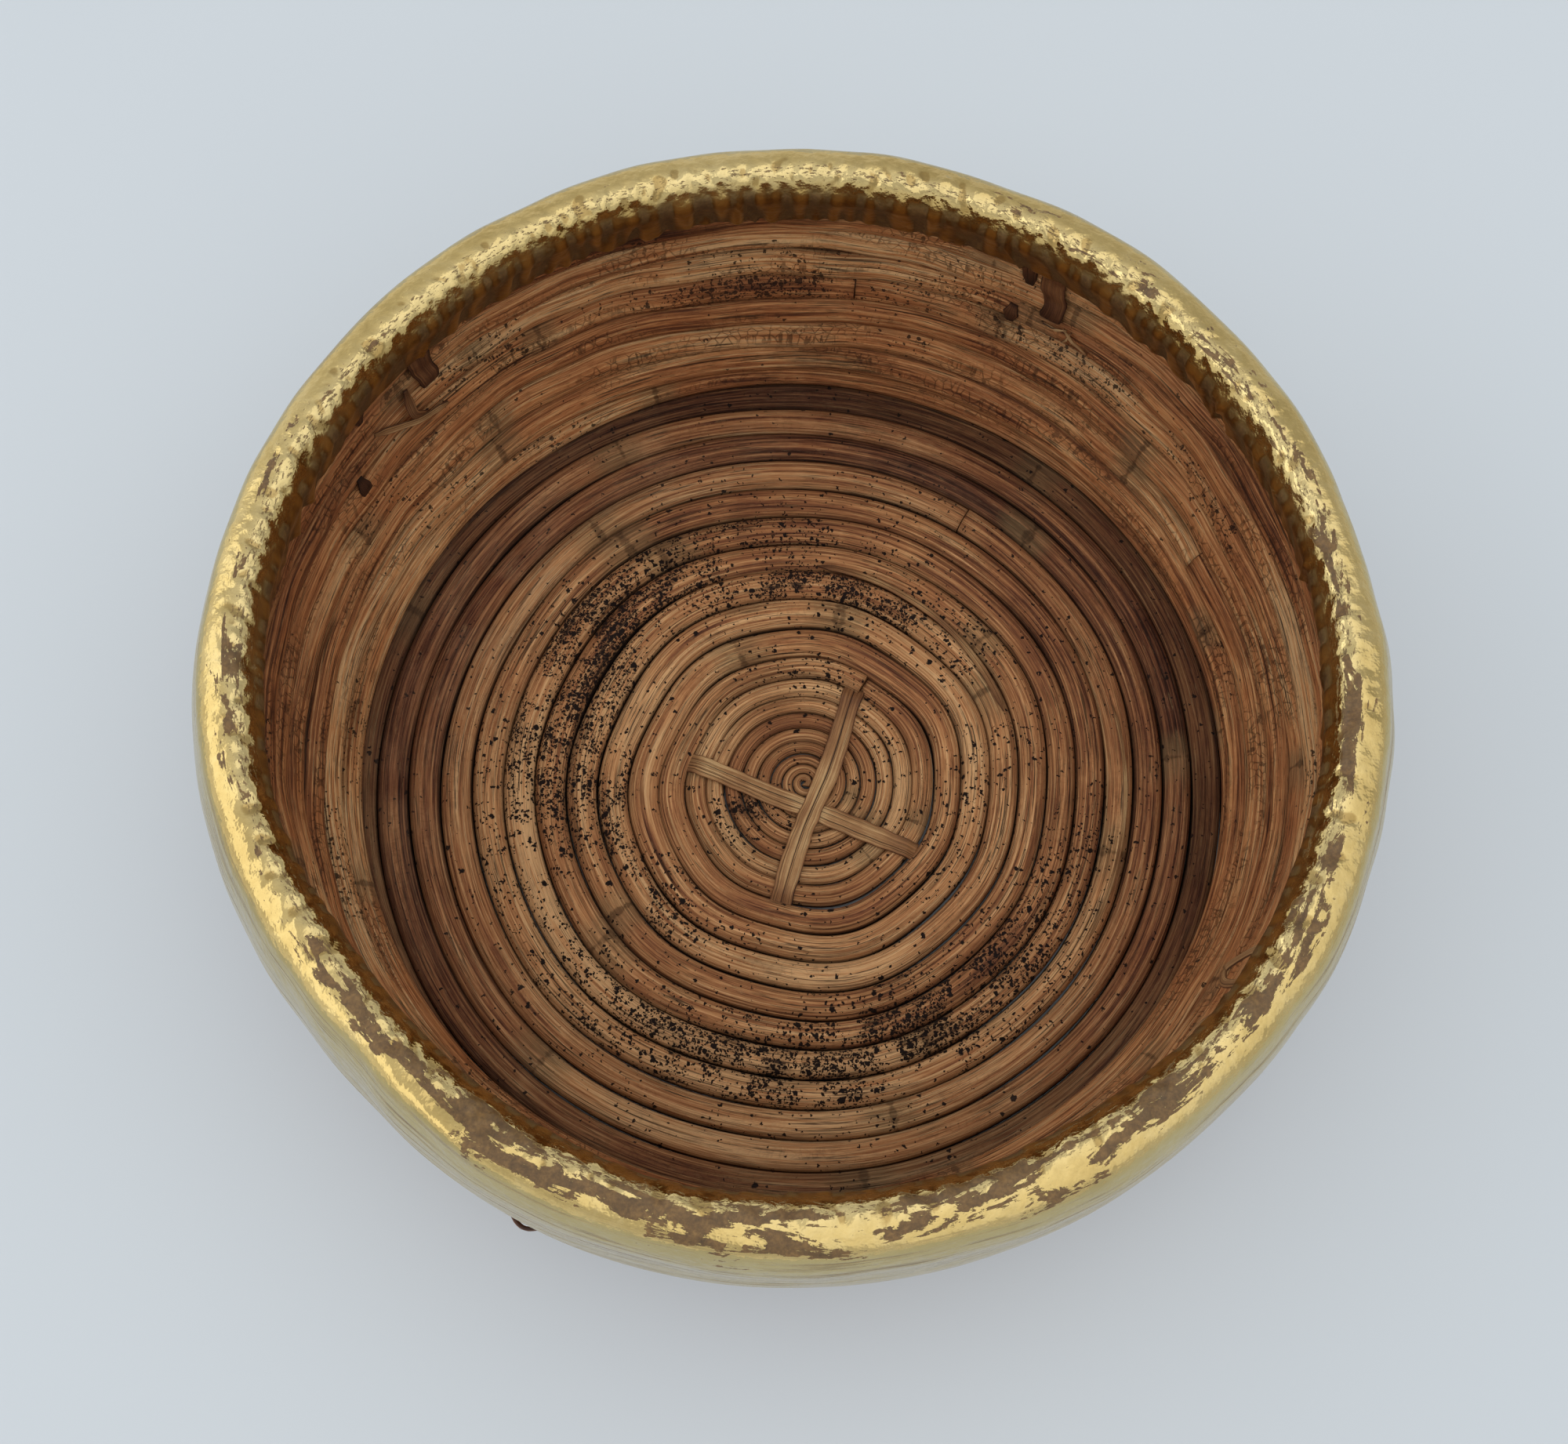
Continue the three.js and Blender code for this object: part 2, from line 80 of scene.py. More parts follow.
def wander(along, seed, wavelength):
    """Smooth irregular wave of about unit size along a length."""
    rng = np.random.default_rng(seed)
    count = 5
    total = 0.0
    for _ in range(count):
        total = total + np.sin(along * TAU / (wavelength * rng.uniform(0.6, 1.8)) + rng.uniform(0, TAU))
    return total * math.sqrt(2 / count)


def bump_at(x, centre, width):
    return np.exp(-((x - centre) / width) ** 2)


def smooth01(x):
    x = np.clip(x, 0, 1)
    return x * x * (3 - 2 * x)


def turn_gap(angle, centre):
    """Signed difference between two angles in degrees."""
    return (angle - centre + 180) % 360 - 180


def facing(degrees, centre, width):
    """One at an azimuth, falling off on both sides of it."""
    return bump_at(turn_gap(degrees, centre), 0, width)


def grid_object(name, points, u, v, material, attributes, loop=False):
    """Mesh over a grid of points in millimetres, rows along and columns round: a loop, or a bar with caps."""
    rows, cols = points.shape[:2]
    index = np.arange(rows * cols).reshape(rows, cols)
    right = np.roll(index, -1, axis=1)
    if loop:
        quads = np.stack([index, right, np.roll(right, -1, axis=0), np.roll(index, -1, axis=0)], axis=-1)
    else:
        quads = np.stack([index[:-1], right[:-1], right[1:], index[1:]], axis=-1)
    quads = quads.reshape(-1, 4)
    caps = [] if loop else [index[0][::-1].tolist(), index[-1].tolist()]
    mesh = bpy.data.meshes.new(name)
    mesh.from_pydata((points.reshape(-1, 3) * MM).tolist(), [], quads.tolist() + caps)
    u_here = u if loop else u[:-1]
    u_next = np.append(u[1:], 2 * u[-1] - u[-2]) if loop else u[1:]
    v_next = np.append(v[1:], v[0] + 1.0)
    corner_u = np.stack([u_here, u_here, u_next, u_next], axis=-1)[:, None, :].repeat(cols, axis=1)
    corner_v = np.stack([v, v_next, v_next, v], axis=-1)[None, :, :].repeat(len(u_here), axis=0)
    uv = np.stack([corner_u, corner_v], axis=-1).reshape(-1, 2)
    if caps:
        ends = np.concatenate([np.stack([np.full(cols, u[0]), v[::-1]], axis=-1),
                               np.stack([np.full(cols, u[-1]), v], axis=-1)])
        uv = np.concatenate([uv, ends])
    layer = mesh.uv_layers.new(name="UVMap")
    layer.data.foreach_set("uv", uv.astype(np.float32).ravel())
    smooth = np.ones(len(mesh.polygons), dtype=bool)
    smooth[len(quads):] = False
    mesh.polygons.foreach_set("use_smooth", smooth)
    for key, values in attributes.items():
        values = np.broadcast_to(values, (rows, cols)).astype(np.float32)
        mesh.attributes.new(key, "FLOAT", "POINT").data.foreach_set("value", values.ravel())
    mesh.materials.append(material)
    mesh.update()
    piece = bpy.data.objects.new(name, mesh)
    bpy.context.collection.objects.link(piece)
    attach(piece, "root")
    return piece


def section(sides, square):
    """Rounded section: cosine-like and sine-like values, squarer than an ellipse where square is over 2."""
    angle = (np.arange(sides) + 0.5) * TAU / sides
    c, s = np.cos(angle), np.sin(angle)
    return np.sign(c) * np.abs(c) ** (2 / square), np.sign(s) * np.abs(s) ** (2 / square), angle


def sweep(centre, up, out, half_up, half_out, sides, square, rough=0.0):
    """Points of a bar of rounded section swept along a path, swollen or dented by rough."""
    c, s, angle = section(sides, square)
    points = (centre[:, None, :]
              + (half_up[:, None] * c + rough * np.cos(angle))[:, :, None] * up[:, None, :]
              + (half_out[:, None] * s + rough * np.sin(angle))[:, :, None] * out[:, None, :])
    return points, angle


def ridges(length, sides, seed, depth):
    """Shallow lengthwise ridges and flats of a cane, which shift and fade along it."""
    rng = np.random.default_rng(seed)
    angle = (np.arange(sides) + 0.5) * TAU / sides
    total = np.zeros((len(length), sides))
    for k in (2, 3, 4, 5, 6, 7, 9):
        twist = 1.3 * wander(length, rng.integers(1 << 30), 260)
        fade = 0.7 + 0.5 * wander(length, rng.integers(1 << 30), 70)
        wave = np.sin(k * angle[None, :] + twist[:, None] + rng.uniform(0, TAU))
        total += fade[:, None] * wave / math.sqrt(k)
    return depth * total


def path_length(points):
    return np.concatenate([[0], np.cumsum(np.linalg.norm(np.diff(points, axis=0), axis=1))])


def outward(azimuth):
    return np.stack([np.cos(azimuth), np.sin(azimuth), np.zeros_like(azimuth)], axis=-1)


def internodes(length, seed, mean):
    """Count of rattan nodes passed along a length, rising evenly between them, and where they lie."""
    rng = np.random.default_rng(seed)
    places = [-rng.uniform(0.2, 0.9) * mean]
    while places[-1] < length[-1] + mean:
        places.append(places[-1] + mean * rng.uniform(0.75, 1.3))
    return np.interp(length, places, np.arange(len(places))), np.array(places)


def node_swell(length, places):
    swell = np.zeros_like(length)
    for place in places:
        swell += bump_at(length, place, 5.0) - 0.5 * bump_at(length, place + 7.0, 4.0)
    return swell


def cane_piece(name, points, u, angle, material, values, groove):
    """Length of cane in place of its solid, with values along it and painted shade in the grooves round it.
    """
    attributes = {key: along[:, None] for key, along in values.items()}
    attributes["groove"] = groove
    piece = grid_object(name, points, u, angle / TAU, material, attributes)
    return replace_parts(piece, name)


def node_steps(knot, seed):
    """Random step between -1 and 1, the same over each stretch between two rattan nodes."""
    return np.random.default_rng(seed).uniform(-1, 1, int(knot.max()) + 2)[knot.astype(int)]


# Helpers for materials

def fill_ramp(ramp, stops):
    """Set a colour ramp's places and colours."""
    while len(ramp.elements) < len(stops):
        ramp.elements.new(0.5)
    for element, (place, colour) in zip(ramp.elements, stops):
        element.position = place
        element.color = colour


class Shade:
    """A node material under construction."""

    def __init__(self, name):
        self.material = bpy.data.materials.new(name)
        self.material.use_nodes = True
        self.tree = self.material.node_tree
        self.shader = self.tree.nodes["Principled BSDF"]
        self.uv = self.node("UVMap", uv_map="UVMap").outputs[0]
        self.place = self.node("TexCoord").outputs["Object"]

    def put(self, socket, value):
        if isinstance(value, bpy.types.NodeSocket):
            self.tree.links.new(value, socket)
        else:
            socket.default_value = value

    def node(self, kind, values=(), **settings):
        made = self.tree.nodes.new("ShaderNode" + kind)
        for key, value in settings.items():
            setattr(made, key, value)
        for key, value in dict(values).items():
            self.put(made.inputs[key], value)
        return made

    def set(self, name, value):
        self.put(self.shader.inputs[name], value)

    def calc(self, operation, a, b=0.0):
        return self.node("Math", {0: a, 1: b}, operation=operation).outputs[0]

    def times(self, a, b):
        return self.calc("MULTIPLY", a, b)

    def plus(self, a, b):
        return self.calc("ADD", a, b)

    def less(self, a, b):
        return self.calc("SUBTRACT", a, b)

    def most(self, a, b):
        return self.calc("MAXIMUM", a, b)

    def swing(self, noise, amount):
        """Noise between 0 and 1, centred on zero and scaled."""
        return self.times(self.less(noise, 0.5), amount)

    def span(self, value, low, high, to_low=0.0, to_high=1.0):
        made = self.node("MapRange", interpolation_type="SMOOTHSTEP")
        for key, item in zip((0, 1, 2, 3, 4), (value, low, high, to_low, to_high)):
            self.put(made.inputs[key], item)
        return made.outputs[0]

    def mix(self, factor, a, b):
        made = self.node("Mix", data_type="RGBA")
        self.put(made.inputs[0], factor)
        self.put(made.inputs[6], a)
        self.put(made.inputs[7], b)
        return made.outputs[2]

    def ramp(self, value, stops):
        """Colour by value, through stops of (place, display colour)."""
        made = self.node("ValToRGB", {0: value})
        fill_ramp(made.color_ramp, [(place, srgb(*colour)) for place, colour in stops])
        return made.outputs[0]

    def value(self, name):
        return self.node("Attribute", attribute_name=name).outputs["Fac"]

    def stretched(self, source, scale, seed):
        values = {"Vector": source, "Scale": scale, "Location": (seed, seed * 0.7, seed * 0.3)}
        return self.node("Mapping", values).outputs[0]

    def noise(self, vector, scale=1.0, detail=3.0, rough=0.5, distort=0.0):
        values = {"Vector": vector, "Scale": scale, "Detail": detail, "Roughness": rough,
                  "Distortion": distort}
        return self.node("TexNoise", values).outputs[0]

    def along(self, stretch, seed, detail=3.0, rough=0.5, distort=0.0):
        """Noise over the UV map, with its own scale along the piece and round its section."""
        return self.noise(self.stretched(self.uv, (*stretch, 1), seed), 1, detail, rough, distort)

    def bump(self, height, strength, distance):
        values = {"Height": height, "Strength": strength, "Distance": distance}
        self.set("Normal", self.node("Bump", values).outputs[0])


def srgb(r, g, b):
    """Linear colour from 0 to 255 display values."""
    def linear(c):
        c /= 255
        return c / 12.92 if c <= 0.04045 else ((c + 0.055) / 1.055) ** 2.4
    return (linear(r), linear(g), linear(b), 1.0)


def rattan(name, tones, speck, crackle, scars, pored, gloss):
    """Cane skin: fibres, tonal drift, rattan nodes, mould specks, painted shade in the grooves and cracked
    varnish.

    speck, crackle, scars and pored are the shares of mould, cracks, frayed places and pores that show.
    """
    s = Shade(name)
    tone, mould, groove, film = (s.value(key) for key in ("tone", "mould", "groove", "film"))
    streak = s.along((15, 30), 3.1, 6, 0.68)
    fibre = s.along((55, 115), 7.7, 3, 0.6)
    pore = s.along((170, 130), 5.3, 2, 0.5)
    blotch = s.noise(s.place, 34, 5, 0.6, 0.4)
    level = s.plus(tone, s.swing(streak, 2.3))
    level = s.plus(level, s.swing(fibre, 1.05))
    level = s.plus(level, s.swing(blotch, 0.75))
    colour = s.ramp(level, tones)
    dark, pale, darkening, dry_dust = srgb(44, 27, 19), srgb(204, 170, 120), srgb(24, 14, 10), srgb(126, 104, 86)
    mould_black, mould_halo = srgb(28, 18, 14), srgb(88, 58, 38)

    bark = s.along((150, 60), 13.0, 6, 0.75)
    colour = s.mix(s.times(s.span(bark, 0.52, 0.70), crackle), colour, dark)
    colour = s.mix(s.times(s.span(bark, 0.46, 0.30), 0.35), colour, pale)
    lines = s.times(s.span(fibre, 0.52, 0.62), s.span(blotch, 0.34, 0.56))
    pores = s.span(pore, 0.62, 0.72)
    split = s.span(s.along((11, 40), 11.0, 2, 0.4), 0.64, 0.69)
    split = s.times(split, s.span(s.along((20, 3), 5.0, 2), 0.44, 0.60))
    colour = s.mix(s.times(lines, 0.85), colour, dark)
    colour = s.mix(s.times(pores, pored), colour, dark)
    colour = s.mix(s.times(split, 0.8), colour, dark)

    fraction = s.calc("FRACT", s.value("knot"))
    near = s.calc("MINIMUM", fraction, s.less(1.0, fraction))
    wobble = s.times(s.less(s.along((5, 9), 2.0, 3, 0.6), 0.5), 0.022)
    near = s.calc("ABSOLUTE", s.plus(near, wobble))
    line = s.span(near, 0.0012, 0.0046, 1.0, 0.0)
    zone = s.span(s.calc("MINIMUM", fraction, near), 0.010, 0.042, 1.0, 0.0)
    bristle = s.times(zone, s.span(s.along((26, 90), 8.0, 3, 0.6), 0.42, 0.58))
    colour = s.mix(s.times(zone, 0.25), colour, pale)
    colour = s.mix(s.times(bristle, scars), colour, dark)
    colour = s.mix(s.times(line, 0.5), colour, dark)

    worn = s.span(s.along((13, 2.4), 9.0, 4, 0.6), 0.58, 0.66)
    frayed = s.times(worn, s.span(s.along((40, 70), 6.0, 3, 0.65), 0.44, 0.56))
    colour = s.mix(s.times(frayed, scars), colour, dark)

    shake = s.node("TexNoise", {"Vector": s.place, "Scale": 800.0, "Detail": 2.0}).outputs[1]
    shake = s.node("VectorMath", {0: shake, 1: (0.5, 0.5, 0.5)}, operation="SUBTRACT").outputs[0]
    shake = s.node("VectorMath", {0: shake, "Scale": 0.0020}, operation="SCALE").outputs[0]
    shaken = s.node("VectorMath", {0: s.place, 1: shake}, operation="ADD").outputs[0]
    odds = s.times(mould, s.span(s.noise(s.place, 70, 4, 0.65, 0.6), 0.34, 0.58))
    stain = 0.0
    for scale, size, share in ((1080.0, 0.48, 1.25), (620.0, 0.44, 0.85), (390.0, 0.40, 0.35)):
        cells = s.node("TexVoronoi", {"Vector": shaken, "Scale": scale, "Randomness": 1.0})
        chance = s.node("SeparateColor", {0: cells.outputs["Color"]}).outputs[0]
        dot = s.span(cells.outputs["Distance"], size - 0.08, size + 0.04, 1.0, 0.0)
        stain = s.most(stain, s.times(dot, s.calc("GREATER_THAN", s.times(odds, share), chance)))
    smear = s.along((48, 26), 9.0, 5, 0.7)
    smear = s.times(s.span(s.plus(smear, s.times(groove, 0.10)), 0.53, 0.61), s.span(odds, 0.45, 0.80))
    colour = s.mix(s.times(s.span(odds, 0.15, 0.9), 0.20), colour, mould_halo)
    colour = s.mix(s.times(s.most(stain, s.times(smear, 0.9)), speck), colour, mould_black)

    dust = s.times(film, s.span(s.plus(s.times(blotch, 0.6), s.times(streak, 0.4)), 0.42, 0.60))
    colour = s.mix(s.times(dust, 0.28), colour, dry_dust)

    across = s.along((430, 9), 4.0, 3, 0.6)
    cracked = s.span(s.along((22, 5), 6.0, 3), 0.46, 0.62)
    cracks = s.times(s.span(across, 0.57, 0.64), cracked)
    cells = s.node("TexVoronoi", {"Vector": s.stretched(s.uv, (300, 15, 1), 2.0), "Scale": 1.0},
                   feature="DISTANCE_TO_EDGE")
    edges = s.span(cells.outputs[0], 0.02, 0.09, 1.0, 0.0)
    cracks = s.most(cracks, s.times(edges, s.times(cracked, 0.8)))
    colour = s.mix(s.times(cracks, crackle), colour, dark)

    # Painted shade in near-black brown, laid on in patches in the grooves between turns, on their undersides
    # and beside the wall
    patchy = s.span(s.along((9, 2), 4.0, 4, 0.6), 0.32, 0.56, 0.6, 1.0)
    groove_shade = s.times(groove, patchy)
    colour = s.mix(s.times(groove_shade, 0.95), colour, darkening)
    s.set("Base Color", colour)
    s.set("Roughness", s.plus(s.times(blotch, 0.25), gloss))
    s.set("Specular IOR Level", 0.16)

    relief = s.plus(s.times(bark, 0.35), s.plus(s.times(streak, 0.55), s.times(fibre, 0.4)))
    relief = s.less(relief, s.plus(s.times(split, 0.8), s.times(cracks, crackle * 0.5)))
    relief = s.less(relief, s.plus(s.times(line, 0.6), s.times(s.plus(bristle, frayed), 0.4)))
    s.bump(relief, 0.75, 0.0011)
    return s.material


floor_rattan = rattan("floor_rattan", [
    (0.0, (48, 27, 20)), (0.24, (98, 58, 39)), (0.44, (142, 91, 59)),
    (0.62, (174, 119, 76)), (0.8, (200, 147, 98)), (1.0, (222, 176, 125)),
], speck=1.0, crackle=0.16, scars=0.28, pored=0.34, gloss=0.56)
wall_rattan = rattan("wall_rattan", [
    (0.0, (60, 34, 24)), (0.24, (116, 69, 43)), (0.44, (164, 104, 63)),
    (0.62, (194, 132, 83)), (0.8, (214, 160, 106)), (1.0, (228, 187, 136)),
], speck=0.88, crackle=0.66, scars=0.4, pored=0.16, gloss=0.46)


def strip_material():
    """Split cane: straight fibres across a brown, slightly shiny strip."""
    s = Shade("cane_strip")
    streak = s.along((24, 30), 2.0, 5, 0.66)
    fibre = s.along((60, 90), 4.0, 3, 0.6)
    blotch = s.noise(s.place, 90, 4, 0.6)
    level = s.plus(s.value("tone"), s.swing(streak, 1.0))
    level = s.plus(level, s.swing(fibre, 0.5))
    level = s.plus(level, s.swing(blotch, 0.5))
    colour = s.ramp(level, [
        (0.0, (40, 24, 18)), (0.3, (82, 50, 32)), (0.55, (126, 84, 52)),
        (0.8, (166, 122, 78)), (1.0, (206, 168, 118))])
    split = s.span(s.along((10, 26), 8.0, 2, 0.4), 0.60, 0.66)
    colour = s.mix(s.times(split, 0.85), colour, srgb(34, 21, 15))
    colour = s.mix(s.times(s.span(fibre, 0.56, 0.66), 0.7), colour, srgb(40, 25, 18))
    s.set("Base Color", colour)
    s.set("Roughness", s.plus(s.times(blotch, 0.3), 0.4))
    s.set("Specular IOR Level", 0.3)
    relief = s.less(s.plus(s.times(streak, 0.5), s.times(fibre, 0.4)), s.times(split, 0.8))
    s.bump(relief, 0.7, 0.0008)
    return s.material


cane_strip = strip_material()


def brass_material():
    """Hand-dressed sheet brass: satin flank, bright worn crest with brown patina, and painted shade in the
    crest's dents, on the inner lip and in its folds.
    """
    s = Shade("sheet_brass")
    lip, age, fold, skirt, crest = (s.value(key) for key in ("lip", "age", "fold", "skirt", "crest"))
    cloud = s.noise(s.place, 24, 4, 0.6, 0.3)
    fine = s.noise(s.place, 260, 6, 0.68, 0.6)
    grain = s.noise(s.place, 1100, 3, 0.6)
    dent = s.span(s.plus(s.value("dent"), s.swing(fine, 1.1)), 0.30, 0.80)
    metal = s.ramp(s.plus(s.times(cloud, 0.6), s.times(fine, 0.4)), [
        (0.25, (178, 151, 90)), (0.5, (201, 176, 114)), (0.75, (217, 196, 141))])
    bright, dent_shade, satin = srgb(220, 202, 149), srgb(142, 112, 58), srgb(198, 184, 142)
    metal = s.mix(s.times(crest, 0.5), metal, bright)
    # Painted shade: the crest's dents are darkened
    metal = s.mix(s.times(dent, 0.62), metal, dent_shade)
    metal = s.mix(s.times(skirt, 0.5), metal, satin)
    # Painted shade on the inner lip, darkest in its folds
    metal = s.mix(s.times(lip, 0.88), metal, s.ramp(s.plus(s.times(fine, 0.5), s.times(fold, 0.5)), [
        (0.25, (190, 158, 90)), (0.5, (118, 90, 50)), (0.75, (72, 52, 32))]))

    flake = s.along((48, 33), 3.0, 7, 0.66, 0.5)
    flake = s.plus(s.times(flake, 0.75), s.times(fine, 0.25))
    edge = s.plus(0.72, s.times(age, -0.238))
    patina = s.span(flake, edge, s.plus(edge, 0.014))
    pits = s.along((520, 260), 1.0, 4, 0.7)
    pitted = s.times(s.plus(crest, s.times(age, 0.4)), -0.15)
    pits = s.span(pits, s.plus(0.72, pitted), s.plus(0.76, s.times(crest, -0.15)))
    darkening = s.most(s.times(patina, 0.95), s.times(pits, 0.85))
    scratch = s.along((20, 110), 1.0, 5, 0.65)
    streak = s.times(s.span(scratch, 0.52, 0.68), skirt)
    # Painted shade in the folds of the lip, laid into the brown layer together with the real patina, pits and
    # skirt streaks
    depth = s.plus(fold, s.swing(fine, 1.2))
    fold_shade = s.times(s.span(depth, 0.45, 0.95), s.span(lip, 0.3, 0.9))
    darkening = s.most(darkening, s.most(s.times(fold_shade, 0.85), s.times(streak, 0.75)))

    brown = s.ramp(s.plus(s.times(fine, 0.6), s.times(grain, 0.4)), [
        (0.3, (53, 34, 17)), (0.5, (94, 66, 34)), (0.7, (132, 98, 52))])
    s.set("Base Color", s.mix(darkening, metal, brown))
    s.set("Metallic", s.plus(1.0, s.times(darkening, -0.85)))
    rough = s.plus(0.20, s.swing(cloud, 0.35))
    rough = s.plus(rough, s.plus(s.times(lip, 0.14), s.times(crest, -0.07)))
    s.set("Roughness", s.plus(rough, s.times(darkening, 0.30)))
    relief = s.times(s.noise(s.place, 210, 3, 0.55), 0.7)
    relief = s.plus(relief, s.times(s.noise(s.place, 520, 2, 0.5), 0.22))
    relief = s.less(relief, s.times(darkening, 0.14))
    s.bump(relief, 0.52, 0.0013)
    return s.material


sheet_brass = brass_material()


# Floor

FLOOR_TOP = FLOOR_CANE - FOOT_CUT
REED_TOP = FLOOR_TOP - STRIP - SEAT
FLOOR_PITCH = FLOOR_CANE + FLOOR_GAP
FLOOR_RADIUS = BASE_RADIUS + FLOOR_OVERHANG


def reed_radius(turn):
    return REED_EYE + (REED_TIP + FLOOR_GAP) * turn + (REED_END - REED_TIP) * turn ** 2 / (2 * REED_TURNS)


def reed_thickness(turn):
    return REED_TIP + (REED_END - REED_TIP) * turn / REED_TURNS


FIRST_RADIUS = reed_radius(REED_TURNS) + CROSS_GROOVE + (REED_END + FLOOR_CANE) / 2 + FLOOR_GAP
FULL_TURNS = (FLOOR_RADIUS - FLOOR_CANE / 2 - FIRST_RADIUS) / FLOOR_PITCH
LAST_FULL = 1 + FULL_TURNS
CANE_TURNS = LAST_FULL + (FLOOR_CANE - CANE_TIP) / FLOOR_PITCH


def cane_pitch(turn):
    """Pitch at a turn's azimuth, which spreads the turns evenly from the first full one to the edge."""
    azimuth = FLOOR_START + turn * TAU
    shift = EDGE_CENTRE - FLOOR_CENTRE
    across = shift[0] * np.cos(azimuth) + shift[1] * np.sin(azimuth)
    edge = across + np.sqrt(FLOOR_RADIUS ** 2 - shift @ shift + across ** 2)
    return (edge - FLOOR_CANE / 2 - FIRST_RADIUS) / FULL_TURNS


def cane_width(turn):
    pitch = cane_pitch(turn)
    growing = REED_END + (pitch - FLOOR_GAP - REED_END) * turn
    return np.where(turn < 1, growing, pitch * np.minimum(1, LAST_FULL + 1 - turn) - FLOOR_GAP)


def cane_height(turn):
    return FLOOR_CANE * cane_width(turn) / (cane_pitch(turn) - FLOOR_GAP)


def cane_outside(turn):
    return FIRST_RADIUS + cane_pitch(turn) * (np.minimum(turn, LAST_FULL) - 0.5) - FLOOR_GAP / 2


def cane_radius(turn):
    return cane_outside(turn) - cane_width(turn) / 2


def floor_shift(azimuth, radius):
    """Sideways drift shared by neighbouring turns, so that they keep their gaps."""
    return 0.55 * ripple(azimuth, radius / 40, 11, 2, 7, 6, 1.0) * smooth01((radius - 15) / 40)


def even_turns(start, end, radius_of, step):
    dense = np.linspace(start, end, 4000)
    length = np.concatenate([[0], np.cumsum(TAU * radius_of(dense[:-1]) * np.diff(dense))])
    return np.interp(np.linspace(0, length[-1], max(int(length[-1] / step), 8)), length, dense)


# Mouldy bands of the floor: azimuth in degrees and its spread, radius and its spread, weight
MOULD_BANDS = (
    (-88, 60, 94, 9, 0.92), (-60, 34, 88, 8, 0.90), (148, 46, 82, 13, 1.2), (165, 30, 72, 10, 1.0),
    (80, 38, 63, 7, 0.95), (95, 30, 93, 5, 0.75), (30, 30, 72, 8, 0.45), (-150, 38, 62, 8, 0.85),
    (-120, 24, 22, 9, 1.0), (200, 60, 95, 6, 0.5), (-20, 40, 58, 6, 0.35), (60, 60, 30, 7, 0.3),
)
# Tone of the floor from its middle to its edge: radii, and how light the cane is there
TONE_RADII = (0, 10, 30, 60, 85, 105, 118, 135)
FLOOR_TONES = (0.51, 0.57, 0.72, 0.74, 0.70, 0.64, 0.54, 0.48)
# Painted shade round the floor's edge: azimuth in degrees, its spread, how much darker (below zero, painted
# light)
FLOOR_PAINTED_SHADE = ((5, 60, 0.24), (-95, 55, -0.20), (180, 50, -0.07))


def mould_at(azimuth, radius):
    """How mouldy the floor is: bands that follow the turns over parts of the circle."""
    degrees = np.degrees(azimuth)
    total = 0.05 + 0 * radius
    for centre, width, middle, spread, weight in MOULD_BANDS:
        total = np.maximum(total, weight * facing(degrees, centre, width) * bump_at(radius, middle, spread))
    return np.where(radius > 112, total * 0.5, total)


def floor_tone(azimuth, radius, length, knot, seed):
    """Light tan in the middle, browner towards the wall, with a step at each rattan node, and painted shade
    on the right of the outer turns and painted light at their near side and left.
    """
    base = np.interp(radius, TONE_RADII, FLOOR_TONES) + 0.03
    degrees = np.degrees(azimuth)
    # Painted shade on the right of the outer turns, painted light at their near side and on the left
    shade = sum(depth * facing(degrees, place, spread) for place, spread, depth in FLOOR_PAINTED_SHADE)
    drift = 0.06 * wander(length, seed, 420) + 0.04 * ripple(azimuth, radius / 9, 5, 1, 3, 4, 2.0)
    return base - shade * smooth01((radius - 70) / 45) + 0.15 * node_steps(knot, seed) + drift


def coil(name, azimuth, radius, half_width, height, top, sides, square, seed, internode):
    """One length of the floor's spiral, with its tone, mould and painted shade in its grooves."""
    out = outward(azimuth)
    length = path_length(out * radius[:, None])
    knot, places = internodes(length, seed, internode)
    radius = radius + floor_shift(azimuth, radius)
    half_width = half_width * (1 + 0.02 * node_swell(length, places) + 0.022 * wander(length, seed + 1, 90))
    about = FLOOR_CENTRE * smooth01((120 - radius) / 80)[:, None] + out * radius[:, None]
    bowl_azimuth = np.arctan2(about[:, 1], about[:, 0])
    bowl_radius = np.hypot(about[:, 0], about[:, 1])
    route = FLOOR_CENTRE + out * radius[:, None]
    clear = smooth01((136 - np.hypot(route[:, 0], route[:, 1])) / 10)
    sway = 0.45 * wander(length, seed + 2, 160) * np.minimum(1, height / 6) - 0.25
    lift = sway * clear + 0.1 * (1 - clear)
    rough = ridges(length, sides, seed + 5, 0.075) * np.minimum(1, height / 7)[:, None]
    centre = route + (top - height / 2 + lift)[:, None] * UP
    up = np.broadcast_to(UP, out.shape)
    points, angle = sweep(centre, up, out, height / 2, half_width, sides, square, rough)
    points[:, :, 2] = np.maximum(points[:, :, 2], 0)
    # Painted shade: the sides of each turn where it meets the next and its underside, and a painted shadow on
    # top of the turns beside the wall
    edge = np.abs(np.sin(angle))
    groove = 0.17 * smooth01((edge - 0.66) / 0.32) + 0.84 * smooth01((edge - 0.935) / 0.04)
    groove = np.maximum(groove, 0.35 * smooth01((-np.cos(angle) - 0.1) / 0.3))
    shadow = 0.5 * (1 - clear)[:, None] * smooth01((np.cos(angle) - 0.2) / 0.4)[None, :]
    groove = np.maximum(groove[None, :], shadow)
    grey = smooth01((bowl_radius - 98) / 22) * (0.45 + 0.55 * facing(np.degrees(bowl_azimuth), 150, 50))
    values = {
        "tone": floor_tone(bowl_azimuth, bowl_radius, length, knot, seed),
        "mould": mould_at(bowl_azimuth, bowl_radius),
        "film": grey,
        "knot": knot,
    }
    u = length * MM + (seed * 1.37) % 5
    return cane_piece(name, points, u, angle, floor_rattan, values, groove)


def splice_turn(radius):
    return SPLICE_GAP / 2 / (TAU * radius)


